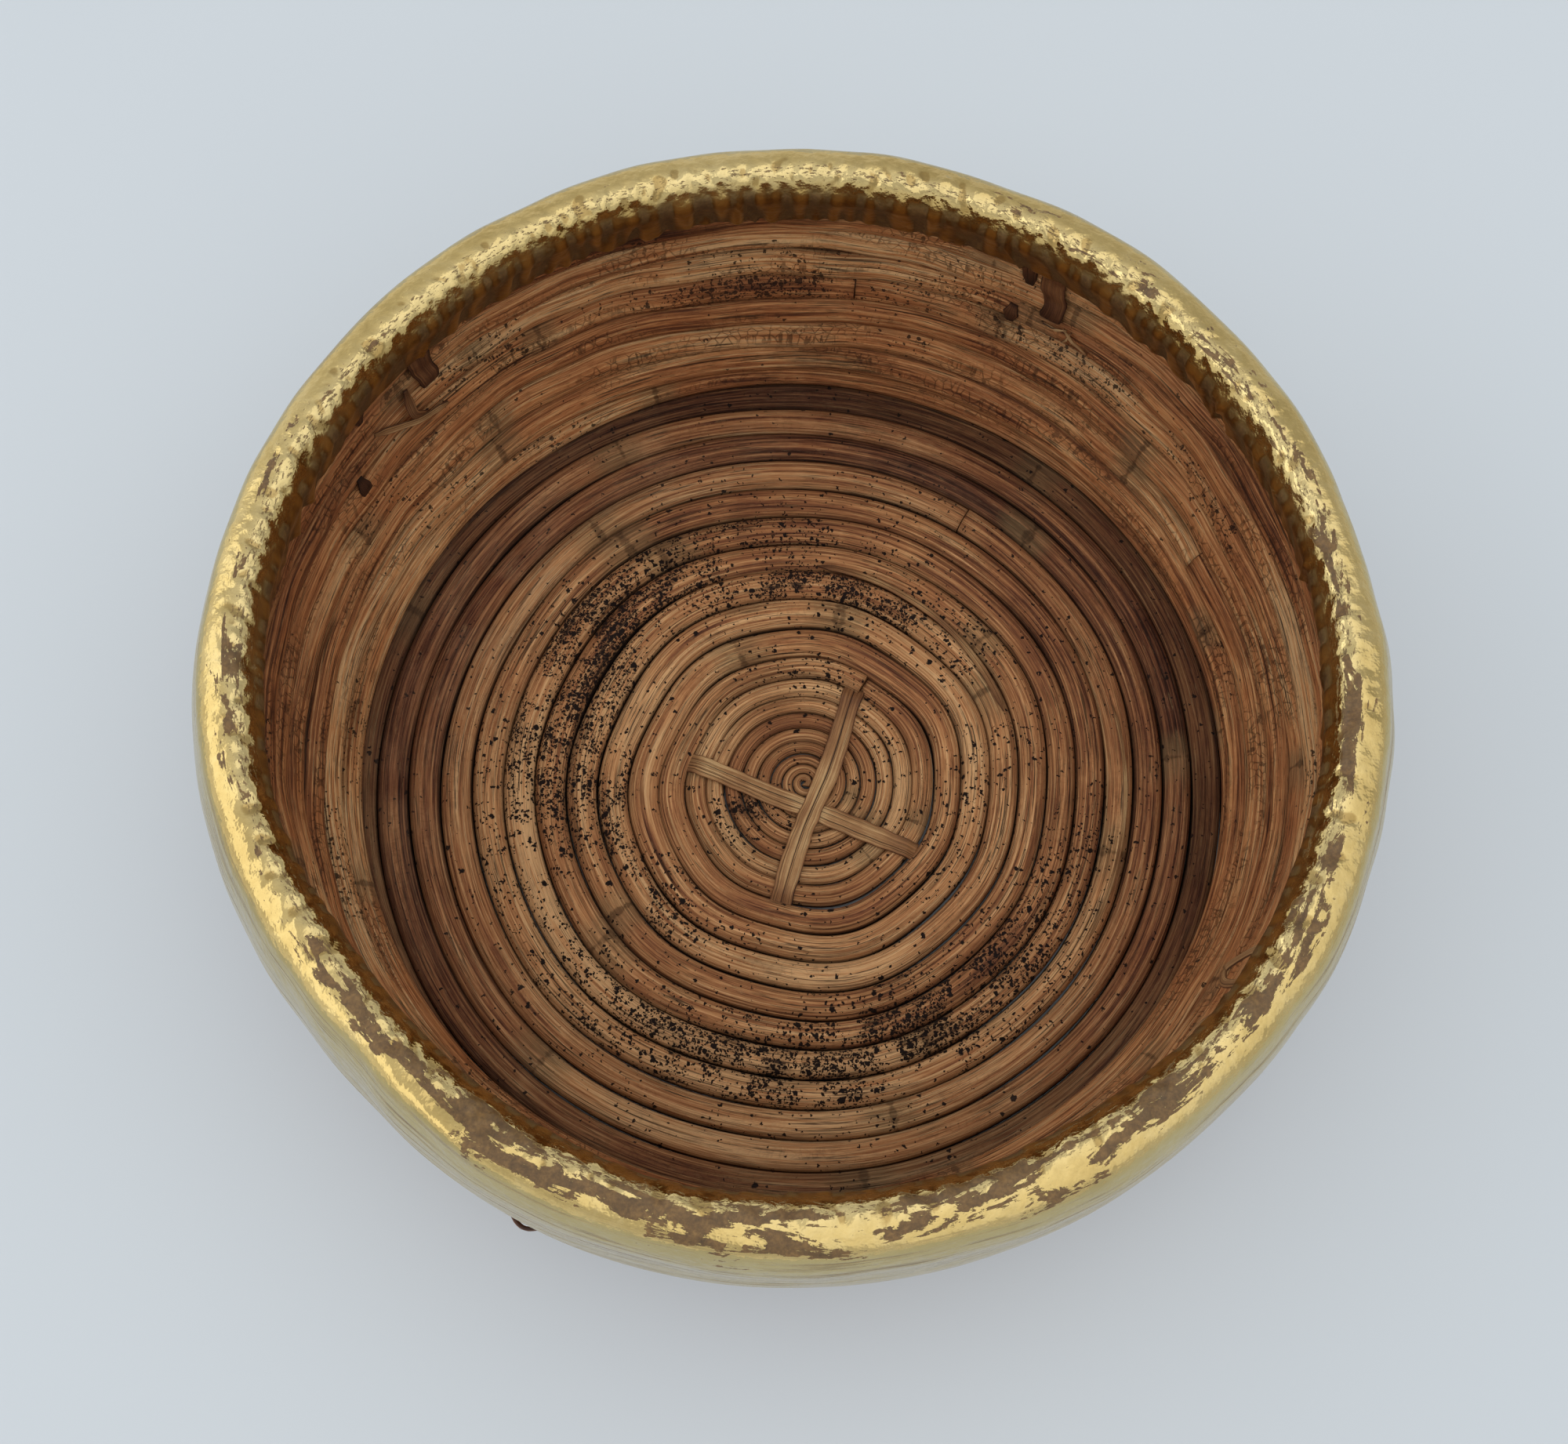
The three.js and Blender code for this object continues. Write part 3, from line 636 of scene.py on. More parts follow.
# Fuller than the solids by this much on each side, and by more where reed and cane meet
FULLER, FULLER_JOIN = 0.2, 0.3
reed = even_turns(-0.55, REED_TURNS - splice_turn(reed_radius(REED_TURNS)), reed_radius, 1.1)
reed_half = reed_thickness(reed) / 2 + FULLER + FULLER_JOIN * smooth01(reed - REED_TURNS + 1.2)
coil("floor_center_reed", FLOOR_START + (reed - REED_TURNS) * TAU, reed_radius(reed), reed_half,
     reed_thickness(reed), REED_TOP, sides=18, square=2.6, seed=21, internode=130)
splice = splice_turn(cane_radius(FLOOR_SPLICE))
floor_lengths = (("floor_cane_inner", splice_turn(cane_radius(0.0)), FLOOR_SPLICE - splice, 31),
                 ("floor_cane_outer", FLOOR_SPLICE + splice, CANE_TURNS, 47))
for piece_name, start, end, cane_seed in floor_lengths:
    cane = even_turns(start, end, cane_radius, 2.4)
    cane_half = cane_width(cane) / 2 + FULLER + FULLER_JOIN * smooth01(1.2 - cane)
    coil(piece_name, FLOOR_START + cane * TAU, cane_radius(cane), cane_half, cane_height(cane), FLOOR_TOP,
         sides=32, square=3.0, seed=cane_seed, internode=300)


# Wall

WALL_PITCH = WALL_CANE + WALL_GAP
WALL_PRESS = 0.2  # depth that each turn is pressed into the next, so that no light shows between them
WALL_SIDES, WALL_SQUARE = 28, 3.1
WALL_FOOT = FLOOR_TOP + SEAT + WALL_CANE / 2 / math.cos(math.pi / CANE_SIDES)


def bezier(*points):
    """Curve from the first of three points to the last, drawn towards the one between."""
    a, b, c = (np.array(point) for point in points)
    t = np.linspace(0, 1, 400)[:, None]
    return (1 - t) ** 2 * a + 2 * t * (1 - t) * b + t ** 2 * c


belly, rim = WALL_FOOT + BELLY_RISE, WALL_FOOT + RIM_RISE
lower_curve = bezier((BASE_RADIUS, WALL_FOOT), (BELLY_RADIUS, (WALL_FOOT + belly) / 2), (BELLY_RADIUS, belly))
upper_curve = bezier((BELLY_RADIUS, belly), (BELLY_RADIUS, (belly + rim) / 2), (RIM_RADIUS, rim))
profile = np.concatenate([lower_curve, upper_curve[1:]])
profile_s = path_length(profile)
PROFILE = profile_s[-1]
WALL_TURNS = 2 + PROFILE / WALL_PITCH
profile_t = np.gradient(profile, profile_s, axis=0)
profile_t /= np.linalg.norm(profile_t, axis=1)[:, None]


def wall_frame(distance):
    """Point of the wall's profile (radius, height), its direction up the wall and the one out of it."""
    inside = np.clip(distance, 0, PROFILE)
    along = np.stack([np.interp(inside, profile_s, profile_t[:, k]) for k in (0, 1)], axis=-1)
    along /= np.linalg.norm(along, axis=-1, keepdims=True)
    point = np.stack([np.interp(inside, profile_s, profile[:, k]) for k in (0, 1)], axis=-1)
    point = point + along * (distance - inside)[..., None]
    return point, along, np.stack([along[..., 1], -along[..., 0]], axis=-1)


def turned(flat, azimuth):
    return outward(azimuth) * flat[..., :1] + UP * flat[..., 1:]


def out_of_round(azimuth, height):
    """How far the hand-made bowl leaves its circle: the near rim bows out, the near left is pressed in."""
    degrees = np.degrees(azimuth)
    high = smooth01((height - 88) / 22)
    mid = smooth01((height - 22) / 34)
    swell = 4.6 * facing(degrees, -80, 52) * high + 1.4 * facing(degrees, -32, 24) * mid
    return swell - 3.2 * facing(degrees, -136, 18) * mid


def placed(flat, azimuth):
    """Point at a radius and height, on the bowl as it is out of round."""
    return turned(flat, azimuth) + outward(azimuth) * out_of_round(azimuth, flat[..., 1])[..., None]


def near_middle(distance):
    """One over most of the wall's height, falling off towards its foot and rim."""
    return smooth01(np.minimum(distance, PROFILE - distance) / 20 + 0.1)


def wall_drift(azimuth, distance):
    """Drift of a turn up or down the wall, in a slow and a quick wave that neighbouring turns share."""
    slow = ripple(azimuth, distance / 30, 61, 2, 8, 6, 1.0)
    quick = 0.25 * ripple(azimuth, distance / 20, 62, 12, 22, 5, 1.0)
    return (slow + quick) * near_middle(distance)


def wall_pole(name, start, end, seed):
    turns = np.linspace(start, end, int((end - start) * 380))
    azimuth = WALL_END + (turns - WALL_TURNS) * TAU
    pared_foot = WALL_PITCH * turns - WALL_GAP
    pared_top = WALL_CANE - WALL_PITCH * (turns - WALL_TURNS + 1)
    thick = np.minimum(np.minimum(pared_foot, WALL_CANE), pared_top)
    distance = np.where(turns < 1, (thick - WALL_CANE) / 2,
                        np.minimum(WALL_PITCH * (turns - 1), PROFILE + (WALL_CANE - thick) / 2))
    ends = near_middle(distance)
    drift = wall_drift(azimuth, distance)
    above = wall_drift(azimuth, distance + WALL_PITCH) - drift
    below = drift - wall_drift(azimuth, distance - WALL_PITCH)
    opening = np.maximum(above, below)
    half_up = (thick + WALL_GAP + np.maximum(opening, 0)) / 2 + WALL_PRESS
    point, along, out = wall_frame(distance + drift)
    centre = placed(point, azimuth)
    length = path_length(centre)
    knot, places = internodes(length, seed, 240)
    out3, along3 = turned(out, azimuth), turned(along, azimuth)
    sway = 0.40 * wander(length, seed + 1, 150) + 0.22 * wander(length, seed + 3, 40)
    centre = centre + out3 * (sway * ends)[:, None]
    swell = 1 + 0.025 * node_swell(length, places) + 0.02 * wander(length, seed + 2, 120)
    rough = ridges(length, WALL_SIDES, seed + 11, 0.13) * (0.3 + 0.7 * ends[:, None])
    points, angle = sweep(centre, along3, out3, half_up, thick / 2 * swell, WALL_SIDES, WALL_SQUARE, rough)
    degrees = np.degrees(azimuth)
    warm = 0.69 + 0.16 * node_steps(knot, seed) + 0.08 * wander(length, seed + 5, 260)
    warm = warm + 0.05 * ripple(azimuth, distance / 9, 71, 1, 4, 4, 2.0)
    # Painted shade: the wall's right side and its top turns under the brass lip are darkened
    warm = warm - 0.17 * facing(degrees, 12, 58) - 0.06 * smooth01((distance - PROFILE + 34) / 20)
    mould = 0.004 + 0.8 * facing(degrees, 92, 14) * bump_at(distance, PROFILE - 54, 6)
    mould = np.maximum(mould, 0.6 * facing(degrees, 52, 8) * bump_at(distance, PROFILE - 57, 5))
    mould = np.maximum(mould, 0.22 * smooth01(wander(length, seed + 7, 110) - 0.9))
    grey = 0.35 * smooth01(wander(length, seed + 9, 140) - 0.3)
    # Painted shade at the top and bottom of each turn, where it meets the next
    edge = np.abs(np.cos(angle))
    groove = 0.20 * smooth01((edge - 0.6) / 0.35) + 0.78 * smooth01((edge - 0.915) / 0.06)
    values = {"tone": warm, "mould": mould, "film": grey, "knot": knot}
    u = length * MM + seed % 7
    return cane_piece(name, points, u, angle, wall_rattan, values, groove[None, :])


wall_ends = [(CANE_TIP + WALL_GAP) / WALL_PITCH, *(WALL_TURNS - below for below in WALL_SPLICES),
             WALL_TURNS - 1 + (WALL_CANE - CANE_TIP) / WALL_PITCH]
wall_splice = splice_turn(BELLY_RADIUS)
for k, piece_name in enumerate(("wall_cane_lower", "wall_cane_middle", "wall_cane_upper")):
    start = wall_ends[k] + (wall_splice if k else 0)
    end = wall_ends[k + 1] - (wall_splice if k < 2 else 0)
    wall_pole(piece_name, start, end, 83 + 10 * k)


# Cane strips

STRIP_SIDES, STRIP_SQUARE = 22, 4.0


def resample(line, step):
    length = path_length(line)
    places = np.linspace(0, length[-1], max(int(length[-1] / step), 4))
    return np.stack([np.interp(places, length, line[:, k]) for k in range(line.shape[1])], axis=-1)


def soften(line, passes):
    for _ in range(passes):
        line[1:-1] = (line[:-2] + 2 * line[1:-1] + line[2:]) / 4
    return line


def ribbon(name, centre, side, width, seed, tone, thick=STRIP, ragged=0.0):
    """Flat strip of split cane along a path, with its width along side, and painted shade along its edges and
    towards its ends.
    """
    tangent = np.gradient(centre, axis=0)
    tangent /= np.linalg.norm(tangent, axis=1)[:, None]
    side = np.broadcast_to(side, centre.shape)
    side = side - tangent * np.sum(side * tangent, axis=1)[:, None]
    side /= np.linalg.norm(side, axis=1)[:, None]
    face = np.cross(side, tangent)
    length = path_length(centre)
    from_end = np.minimum(length, length[-1] - length)
    half = width / 2 * (1 + 0.035 * wander(length, seed, 25) + 0.02 * wander(length, seed + 1, 6))
    half = half * (1 - ragged * (1 - smooth01(from_end / 5)))
    half_thick = np.full(len(centre), thick / 2)
    points, angle = sweep(centre, face, side, half_thick, half, STRIP_SIDES, STRIP_SQUARE)
    up, across, _ = section(STRIP_SIDES, STRIP_SQUARE)
    crown = 0.12 * np.sign(up) * (1 - across ** 2)
    fibres = 0.05 * np.sin(7 * across[None, :] + wander(length, seed + 4, 40)[:, None])
    points += (crown[None, :] + fibres)[:, :, None] * face[:, None, :]
    # Painted shade towards the strip's ends and along its edges
    end_shade = 0.22 * (1 - smooth01(from_end / min(9, length[-1] / 5)))
    edge_shade = 0.30 * smooth01((np.abs(across) - 0.86) / 0.12)
    shade = tone + 0.08 * wander(length, seed + 2, 30) - end_shade
    attributes = {"tone": shade[:, None] - edge_shade[None, :]}
    v = np.where(up > 0, 0.25 + across / 4 + (angle > math.pi), 0.75 - across / 4)
    return grid_object(name, points, length * MM + seed % 9, v, cane_strip, attributes)


def groove_radius(azimuth):
    turn = ((azimuth - FLOOR_START) / TAU) % 1
    return float(cane_outside(turn) - cane_width(turn)) - (CROSS_GROOVE + FLOOR_GAP) / 2


def cross_reach(azimuth, offset, sense):
    reach = sense * groove_radius(azimuth)
    for _ in range(20):
        polar = math.atan2(-offset, reach) + azimuth
        reach = sense * math.sqrt(groove_radius(polar) ** 2 - offset ** 2)
    return reach


def cross_strip(name, azimuth, offset, raised, width, seed, tone):
    start, end = cross_reach(azimuth, offset, -1), cross_reach(azimuth, offset, 1)
    level = REED_TOP + SEAT + STRIP / 2
    opening = CROSS_AZIMUTHS[1] - CROSS_AZIMUTHS[0]
    crossing = (CROSS_OFFSETS[1] * math.cos(opening) - CROSS_OFFSETS[0]) / math.sin(opening)
    x = np.linspace(start - 0.4, end + 0.4, 90)
    z = level + 0.12 * wander(x, seed, 22)
    z -= 1.9 * (smooth01((start + 3.6 - x) / 4) + smooth01((x - end + 3.6) / 4))
    if raised:
        z += (STRIP + SEAT - 0.1) * smooth01(1.9 - np.abs(x - crossing) / 6.2)
    along = np.array([math.cos(azimuth), math.sin(azimuth), 0])
    across = np.cross(along, UP)
    sway = 0.35 * wander(x, seed + 3, 60)
    centre = FLOOR_CENTRE + along * x[:, None] + across * (offset + sway)[:, None] + UP * z[:, None]
    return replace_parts(ribbon(name, centre, across, width, seed, tone), name)


cross_strip("floor_cross_strip_lower", CROSS_AZIMUTHS[0], CROSS_OFFSETS[0], False, CROSS_WIDTH, 5, 0.84)
cross_strip("floor_cross_strip_upper", CROSS_AZIMUTHS[1], CROSS_OFFSETS[1], True, CROSS_WIDTH + 0.6, 9, 0.80)


def beside(distance, out):
    point, _, normal = wall_frame(np.atleast_1d(np.asarray(distance, dtype=float)))
    return point + normal * out


def groove_near(azimuth_turn, reach):
    phase = WALL_TURNS + azimuth_turn - 1.5
    return WALL_PITCH * (round((PROFILE - reach) / WALL_PITCH - phase) + phase)


def over_top(reach, count):
    point, along, out = (item[0] for item in wall_frame(np.array([PROFILE])))
    angle = np.linspace(0, math.pi, count)[:, None]
    return point - out * reach * np.cos(angle) + along * reach * np.sin(angle)


def lashing(name, azimuth_turn, width, reach, seed, tone):
    """Strip out of the groove inside the wall, over its top turn and into the groove outside."""
    groove = groove_near(azimuth_turn, reach)
    out = WALL_CANE / 2 + 1.2
    run = np.linspace(groove + 1.0, PROFILE, 20)[:-1]
    sunk = out - 0.45 * np.cos(TAU * (run - groove) / WALL_PITCH) * (run < PROFILE - 8)
    places = [(groove, WALL_CANE / 2 - TUCK + depth) for depth in (0.0, 1.2, 2.4)] + list(zip(run, sunk))
    inner = [beside(distance, -reached)[0] for distance, reached in places]
    outer = [beside(distance, reached)[0] for distance, reached in reversed(places)]
    line = soften(resample(np.concatenate([inner, over_top(out + 0.1, 12), outer]), 0.9), 2)
    azimuth = WALL_END + azimuth_turn * TAU
    radial = np.array([math.cos(azimuth), math.sin(azimuth), 0])
    tangent = np.cross(UP, radial)
    lean = 0.5 * wander(path_length(line), seed, 30)
    centre = placed(line, np.full(len(line), azimuth)) + tangent * lean[:, None]
    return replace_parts(ribbon(name, centre, tangent, width, seed, tone, thick=0.8, ragged=0.35), name)


for k, step in enumerate(LASHING_STEPS):
    lashing("rim_lashing_%d" % (k + 1), step / CANE_STEPS, LASHING_WIDTH, LASHING_REACH, 200 + 10 * k, 0.40)
for k, step in enumerate(TIE_STEPS):
    lashing("rim_tie_%d" % (k + 1), step / CANE_STEPS, TIE_WIDTH, TIE_REACH, 300 + 10 * k, 0.34)


def loose_tail(bow=6.3, sag=1.2):
    """Loose end of a lashing, with both ends in a groove outside the wall and its middle bowed out."""
    middle = TAIL_STEP / CANE_STEPS
    seat = beside(groove_near(middle, TAIL_REACH), 3.6)[0]
    across = np.linspace(-0.5, 0.5, 40)
    arch = np.cos(math.pi * across) ** 2
    azimuth = WALL_END + middle * TAU + across * TAIL_SPAN / seat[0]
    centre = placed(np.stack([seat[0] + bow * arch, seat[1] - sag * arch], axis=-1), azimuth)
    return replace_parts(ribbon("loose_lashing_tail", centre, UP, TAIL_WIDTH, 401, 0.4), "loose_lashing_tail")


loose_tail()


def through(places, count):
    """Smooth path of count points through a few places."""
    places = np.array(places, dtype=float)
    share = np.linspace(0, len(places) - 1, count)
    line = [np.interp(share, np.arange(len(places)), places[:, k]) for k in range(3)]
    return soften(np.stack(line, axis=-1), 6)


def scrap(name, width, tone, seed, places):
    """Scrap inside the wall, through (azimuth in degrees, millimetres below the top turn, lift)."""
    line = through(places, 30)
    point, _, out = wall_frame(PROFILE - line[:, 1])
    path = placed(point - out * (WALL_CANE / 2 + line[:, 2])[:, None], np.radians(line[:, 0]))
    azimuth = math.radians(places[0][0])
    side = np.array([-math.sin(azimuth), math.cos(azimuth), 0])
    return ribbon(name, path, side, width, seed, tone, thick=0.6, ragged=0.5)


def splinter(name, width, tone, seed, places):
    """Splinter along the floor, through (azimuth in degrees, radius about the axis, height over the cane)."""
    line = through(places, 60)
    out = outward(np.radians(line[:, 0]))
    path = out * line[:, 1:2] + UP * (FLOOR_TOP + line[:, 2:])
    return ribbon(name, path, out, width, seed, tone, thick=0.7, ragged=0.85)


# Each scrap and splinter: name, width, tone, seed, places
SCRAPS = (
    ("torn_lashing_end_1", 6.0, 0.27, 501, [(61.4, 43.5, -0.2), (61.5, 47, 0.4), (61.6, 51.5, -0.6)]),
    ("torn_lashing_end_2", 5.0, 0.30, 503, [(152, 47, -0.3), (152.1, 52, 0.5), (151.6, 60, -0.8)]),
    ("short_tie_1", 5.5, 0.22, 505, [(60.4, 15, 0.4), (60.3, 22, 0.5), (60.2, 31, -0.5)]),
    ("short_tie_2", 5.0, 0.24, 507, [(148.8, 15, 0.4), (148.7, 21, 0.5), (148.4, 28, -0.4)]),
    ("curled_end_1", 3.2, 0.62, 509,
     [(141.5, 33, 0.6), (141.8, 38, 1.6), (142.2, 42, 3.4), (141.0, 46, 2.4), (140.0, 48, 1.0)]),
    ("long_splinter_1", 2.4, 0.90, 511, [(147.5, 38, 0.3), (145, 42, 1.6), (141.5, 48, 2.2), (137, 53, 0.4)]),
    ("torn_fibre_1", 1.2, 0.95, 513, [(54.5, 42, 0.8), (52.8, 44.5, 1.6), (50.6, 47, 0.8)]),
    ("torn_fibre_2", 1.1, 0.9, 515, [(54.0, 42, 0.8), (55.4, 43.6, 1.5), (57.2, 44.6, 0.6)]),
    ("torn_fibre_3", 1.0, 0.8, 517, [(53.4, 42, 0.7), (53.6, 45, 1.8), (54.2, 48, 0.7)]),
    ("loose_loop_1", 2.6, 0.80, 519,
     [(328, 20, 1.0), (327, 30, 6.0), (324.6, 40, 9.0), (322.4, 36, 7.5), (323.4, 24, 2.5)]),
    ("loose_loop_2", 2.4, 0.75, 521, [(321.5, 20, 1.0), (320, 30, 4.0), (317.5, 38, 6.0), (315, 44, 2.0)]),
)
SPLINTERS = (
    ("floor_splinter_1", 2.2, 0.75, 531,
     [(12, 71.5, -0.6), (30, 69.5, -0.1), (55, 68, -0.1), (82, 68.2, -0.7)]),
    ("floor_splinter_2", 1.3, 0.85, 533,
     [(-34, 110.5, -0.5), (-20, 109, 0.4), (-6, 108, 0.6), (9, 106.8, -0.2)]),
)
for entry in SCRAPS:
    scrap(*entry)
for entry in SPLINTERS:
    splinter(*entry)


# Brass rim

BRASS_COLUMNS = 1200
# Kinks: azimuth in degrees and its spread, row and its spread, rise
KINKS = (
    (-122, 9, 1.45, 0.22, -1.0), (-121, 6, 1.80, 0.13, 1.7), (-132, 5, 1.70, 0.2, 0.8),
    (133, 6, 1.45, 0.3, -0.5), (-52, 5, 1.5, 0.3, -0.5), (160, 8, 1.55, 0.3, 0.4),
)
# Folds of the lip: azimuth in degrees, lean
FOLDS = (
    (95, 2.0), (30, -1.5), (-6, 1.5), (-91, 1.0), (184, -1.5),
    (62, 2.0), (137, -2.0), (-44, 2.0), (-150, 1.0), (8, -1),
)
# Patina round the rim: azimuths in degrees, and how much of it is there
PATINA_PLACES = (0, 40, 75, 100, 125, 160, 190, 230, 270, 320, 360)
PATINA_SHARES = (0.87, 0.82, 0.45, 0.35, 0.45, 0.68, 0.80, 0.86, 0.93, 0.87, 0.87)


def sheet_rows(lip, top, skirt):
    """Rows over the sheet: 0 to 1 run up the lip, 1 to 2 over the top, 2 to 3 down the skirt."""
    return np.concatenate([np.linspace(0, 1, lip, endpoint=False), 1 + np.linspace(0, 1, top, endpoint=False),
                           2 + np.linspace(0, 1, skirt)])


def brass_sheet(azimuth, rows, reach, height):
    """Points of one face of the sheet, at a reach from the middle of the top turns."""
    columns = len(azimuth)
    top = PROFILE + WALL_CANE / 2 + BRASS_ROOM + BRASS_SHEET
    lip_edge = top - LIP_DEPTH + 1.2 * np.sin(5 * azimuth) * np.cos(3 * azimuth)
    lip_edge = lip_edge + 0.6 * ripple(azimuth, 0, 3, 9, 26, 6) + 0.35 * ripple(azimuth, 0, 4, 40, 90, 6)
    skirt_edge = top - SKIRT_DEPTH + 0.5 * ripple(azimuth, 0, 6, 3, 14, 6)
    centre, along, out = (item[0] for item in wall_frame(np.array([PROFILE])))
    points = np.zeros((columns, len(rows), 3))
    for j, row in enumerate(rows):
        if row < 1:
            point, _, side = wall_frame(lip_edge + (PROFILE - lip_edge) * row)
            flat, normal = point - side * reach, -side
        elif row < 2:
            angle = math.pi * (row - 1)
            normal = np.broadcast_to(-out * math.cos(angle) + along * math.sin(angle), (columns, 2))
            flat = centre + normal * reach
        else:
            point, _, side = wall_frame(PROFILE + (skirt_edge - PROFILE) * (row - 2))
            flat, normal = point + side * reach, side
        points[:, j] = placed(flat + normal * height[:, j:j + 1], azimuth)
    return points


def brass_shape(azimuth, rows):
    """Rise of the dressed sheet, and how deep each place lies in the lip's gathers and the crest's dents."""
    angle, row, degrees = azimuth[:, None], rows[None, :], np.degrees(azimuth)[:, None]
    lumps = 0.30 * ripple(angle, row * 2.2, 91, 4, 14, 8, 1.0)
    lumps = lumps + 0.10 * ripple(angle, row * 4, 92, 20, 45, 10, 1.0)
    crest = 0.55 * bump_at(row, 1.50, 0.12) - 0.30 * bump_at(row, 1.74, 0.12)
    crest = crest - 0.25 * bump_at(row, 1.28, 0.10)
    crumple = 0.22 * ripple(angle, row * 13, 93, 25, 90, 14, 1.0)
    crumple = crumple + 0.15 * ripple(angle, row * 30, 97, 80, 190, 14, 1.0)
    crumple = bump_at(row, 1.47, 0.20) * crumple
    lip_share = smooth01((1.36 - row) / 0.8)
    gather = ripple(angle, row * 2.5, 94, 50, 120, 10, 1.0)
    gather = gather + 0.6 * ripple(angle, row * 3.5, 95, 115, 200, 10, 1.0)
    puckers = 0.44 * gather * lip_share * (0.7 + 0.35 * ripple(angle, 0, 96, 3, 9, 5))
    kinks = np.zeros_like(lumps)
    for place, width, middle, spread, rise in KINKS:
        kinks += rise * facing(degrees, place, width) * bump_at(row, middle, spread)
    folds = np.zeros_like(lumps)
    for place, lean in FOLDS:
        across = turn_gap(degrees, place + lean * (row - 0.6))
        pleat = 0.9 * bump_at(across, 0.35, 0.35) - 0.7 * bump_at(across, -0.35, 0.35)
        folds += pleat * smooth01((1.45 - row) / 0.6)
    height = lumps + crest + crumple + puckers + kinks + folds
    height = np.maximum(height * (0.35 + 0.65 * smooth01((3.0 - row) / 0.25)), -0.6)
    return height, np.clip(0.5 - 0.35 * gather, 0, 1), smooth01(-crumple / 0.42)


def brass_rim():
    inside = WALL_CANE / 2 + BRASS_ROOM
    azimuth = np.arange(BRASS_COLUMNS) * TAU / BRASS_COLUMNS
    degrees = np.degrees(azimuth)
    front, back = sheet_rows(18, 36, 22), sheet_rows(9, 12, 10)
    height, fold, dent = brass_shape(azimuth, front)
    height_behind, fold_behind, dent_behind = brass_shape(azimuth, back)
    face = brass_sheet(azimuth, front, inside + BRASS_SHEET, height)
    behind = brass_sheet(azimuth, back, inside, np.clip(height_behind, -0.3, 0.4))
    points = np.concatenate([face, behind[:, ::-1]], axis=1)
    both = np.concatenate([front, back[::-1]])[None, :]
    lip = smooth01((1.42 - both) / 0.30)
    skirt = smooth01((both - 1.78) / 0.3)
    crest = bump_at(both, 1.49, 0.11)
    patina = np.interp(degrees, PATINA_PLACES, PATINA_SHARES)[:, None]
    near = facing(degrees, -95, 48)[:, None]
    band = bump_at(both, 1.54 + 0.14 * near, 0.25 + 0.08 * near)
    age = patina * (0.20 + 0.86 * band) * (1 + 0.14 * near)
    age = np.clip(age + 0.25 * lip * patina - 0.15 * skirt * (1 - near), 0, 1.12)
    fold = np.concatenate([fold, fold_behind[:, ::-1]], axis=1)
    dent = np.concatenate([dent, dent_behind[:, ::-1]], axis=1)
    u = azimuth * RIM_RADIUS * MM
    v = np.concatenate([front, 6 - back[::-1]]) / 6.5
    attributes = {"lip": lip, "age": age, "fold": fold, "dent": dent, "skirt": skirt, "crest": crest}
    piece = grid_object("brass_rim", points, u, v, sheet_brass, attributes, loop=True)
    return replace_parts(piece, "brass_rim")


brass_rim()


# Stage: pale floor, soft light, camera at the photograph's angle

PAPER_DARK, PAPER_PALE = (0.585, 0.635, 0.672, 1), (0.61, 0.66, 0.697, 1)
# Brightness of the room from below to above, and from left to right
ROOM = (
    (0.0, (0.98, 0.99, 1.0, 1)), (0.2, (0.90, 0.91, 0.92, 1)), (0.48, (0.66, 0.67, 0.68, 1)),
    (0.75, (0.80, 0.81, 0.83, 1)), (1.0, (0.98, 0.99, 1.02, 1)),
)
ROOM_LEFT, ROOM_RIGHT = 1.12, 0.70
# Camera fitted to the photograph: focal length as a share of its width, place, degrees of downward tilt
FOCAL_SHARE, SENSOR = 1950 / 2000, 36.0
CAMERA_PLACE, CAMERA_TILT = (-0.0017, -0.1634, 0.4737), 69.46


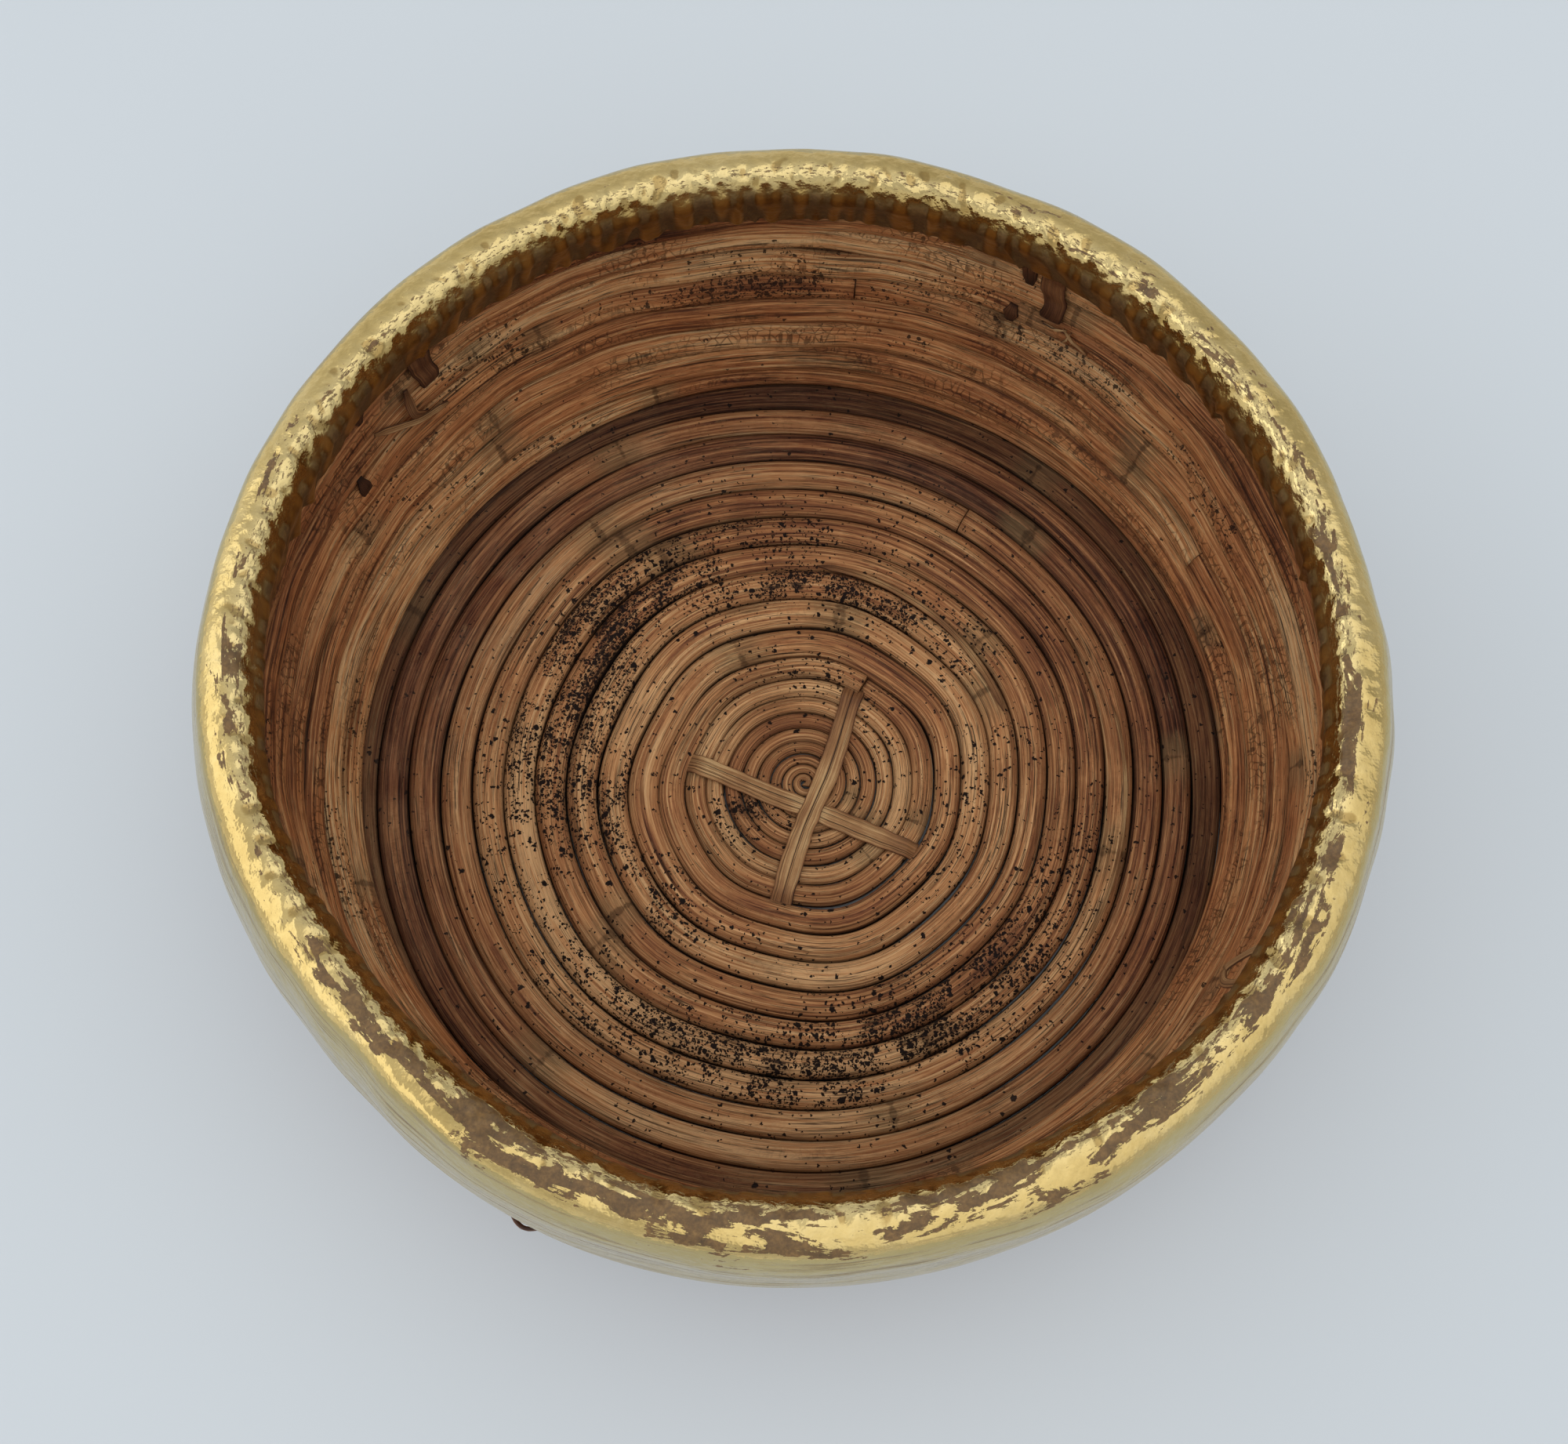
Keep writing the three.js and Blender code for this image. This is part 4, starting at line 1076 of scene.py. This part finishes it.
def stage_floor():
    s = Shade("stage_paper")
    paper = s.noise(s.place, 3.0, 2, 0.5)
    s.set("Base Color", s.mix(paper, PAPER_DARK, PAPER_PALE))
    s.set("Roughness", 0.9)
    s.set("Specular IOR Level", 0.1)
    mesh = bpy.data.meshes.new("stage_floor")
    mesh.from_pydata([(-6, -6, 0), (6, -6, 0), (6, 6, 0), (-6, 6, 0)], [], [(0, 1, 2, 3)])
    mesh.materials.append(s.material)
    floor = bpy.data.objects.new("stage_floor", mesh)
    bpy.context.collection.objects.link(floor)


stage_floor()


def room_light():
    """World light that differs from below to above and from left to right."""
    world = bpy.data.worlds.new("studio")
    bpy.context.scene.world = world
    world.use_nodes = True
    tree = world.node_tree
    background = tree.nodes["Background"]
    direction = tree.nodes.new("ShaderNodeTexCoord")
    split = tree.nodes.new("ShaderNodeSeparateXYZ")
    tree.links.new(direction.outputs["Generated"], split.inputs[0])
    height = tree.nodes.new("ShaderNodeValToRGB")
    fill_ramp(height.color_ramp, ROOM)
    tree.links.new(split.outputs[2], height.inputs[0])
    side = tree.nodes.new("ShaderNodeMapRange")
    for key, item in zip((1, 2, 3, 4), (-1.0, 1.0, ROOM_LEFT, ROOM_RIGHT)):
        side.inputs[key].default_value = item
    tree.links.new(split.outputs[0], side.inputs[0])
    tree.links.new(side.outputs[0], background.inputs[1])
    tree.links.new(height.outputs[0], background.inputs[0])


room_light()


def area(name, place, aim, size, power, colour):
    data = bpy.data.lights.new(name, "AREA")
    data.shape = "RECTANGLE"
    data.size, data.size_y = size
    data.energy = power
    data.color = colour
    lamp = bpy.data.objects.new(name, data)
    lamp.location = place
    back = np.array(place) - np.array(aim)
    lamp.rotation_euler = Vector(back).to_track_quat("Z", "Y").to_euler()
    bpy.context.collection.objects.link(lamp)


area("ceiling", (0.95, -0.6, 2.1), (0, 0, 0), (4.2, 3.8), 27, (1.0, 0.99, 0.97))
area("window_left", (-1.7, -0.1, 1.35), (0, 0, 0.1), (2.6, 0.9), 7.5, (1.0, 1.0, 1.0))

camera_data = bpy.data.cameras.new("camera")
camera_data.sensor_width = SENSOR
camera_data.lens = FOCAL_SHARE * SENSOR
camera_data.clip_start, camera_data.clip_end = 0.01, 50
camera = bpy.data.objects.new("camera", camera_data)
camera.location = CAMERA_PLACE
camera.rotation_euler = (math.radians(90 - CAMERA_TILT), 0, 0)
bpy.context.collection.objects.link(camera)
bpy.context.scene.camera = camera
bpy.context.scene.view_settings.view_transform = "Standard"
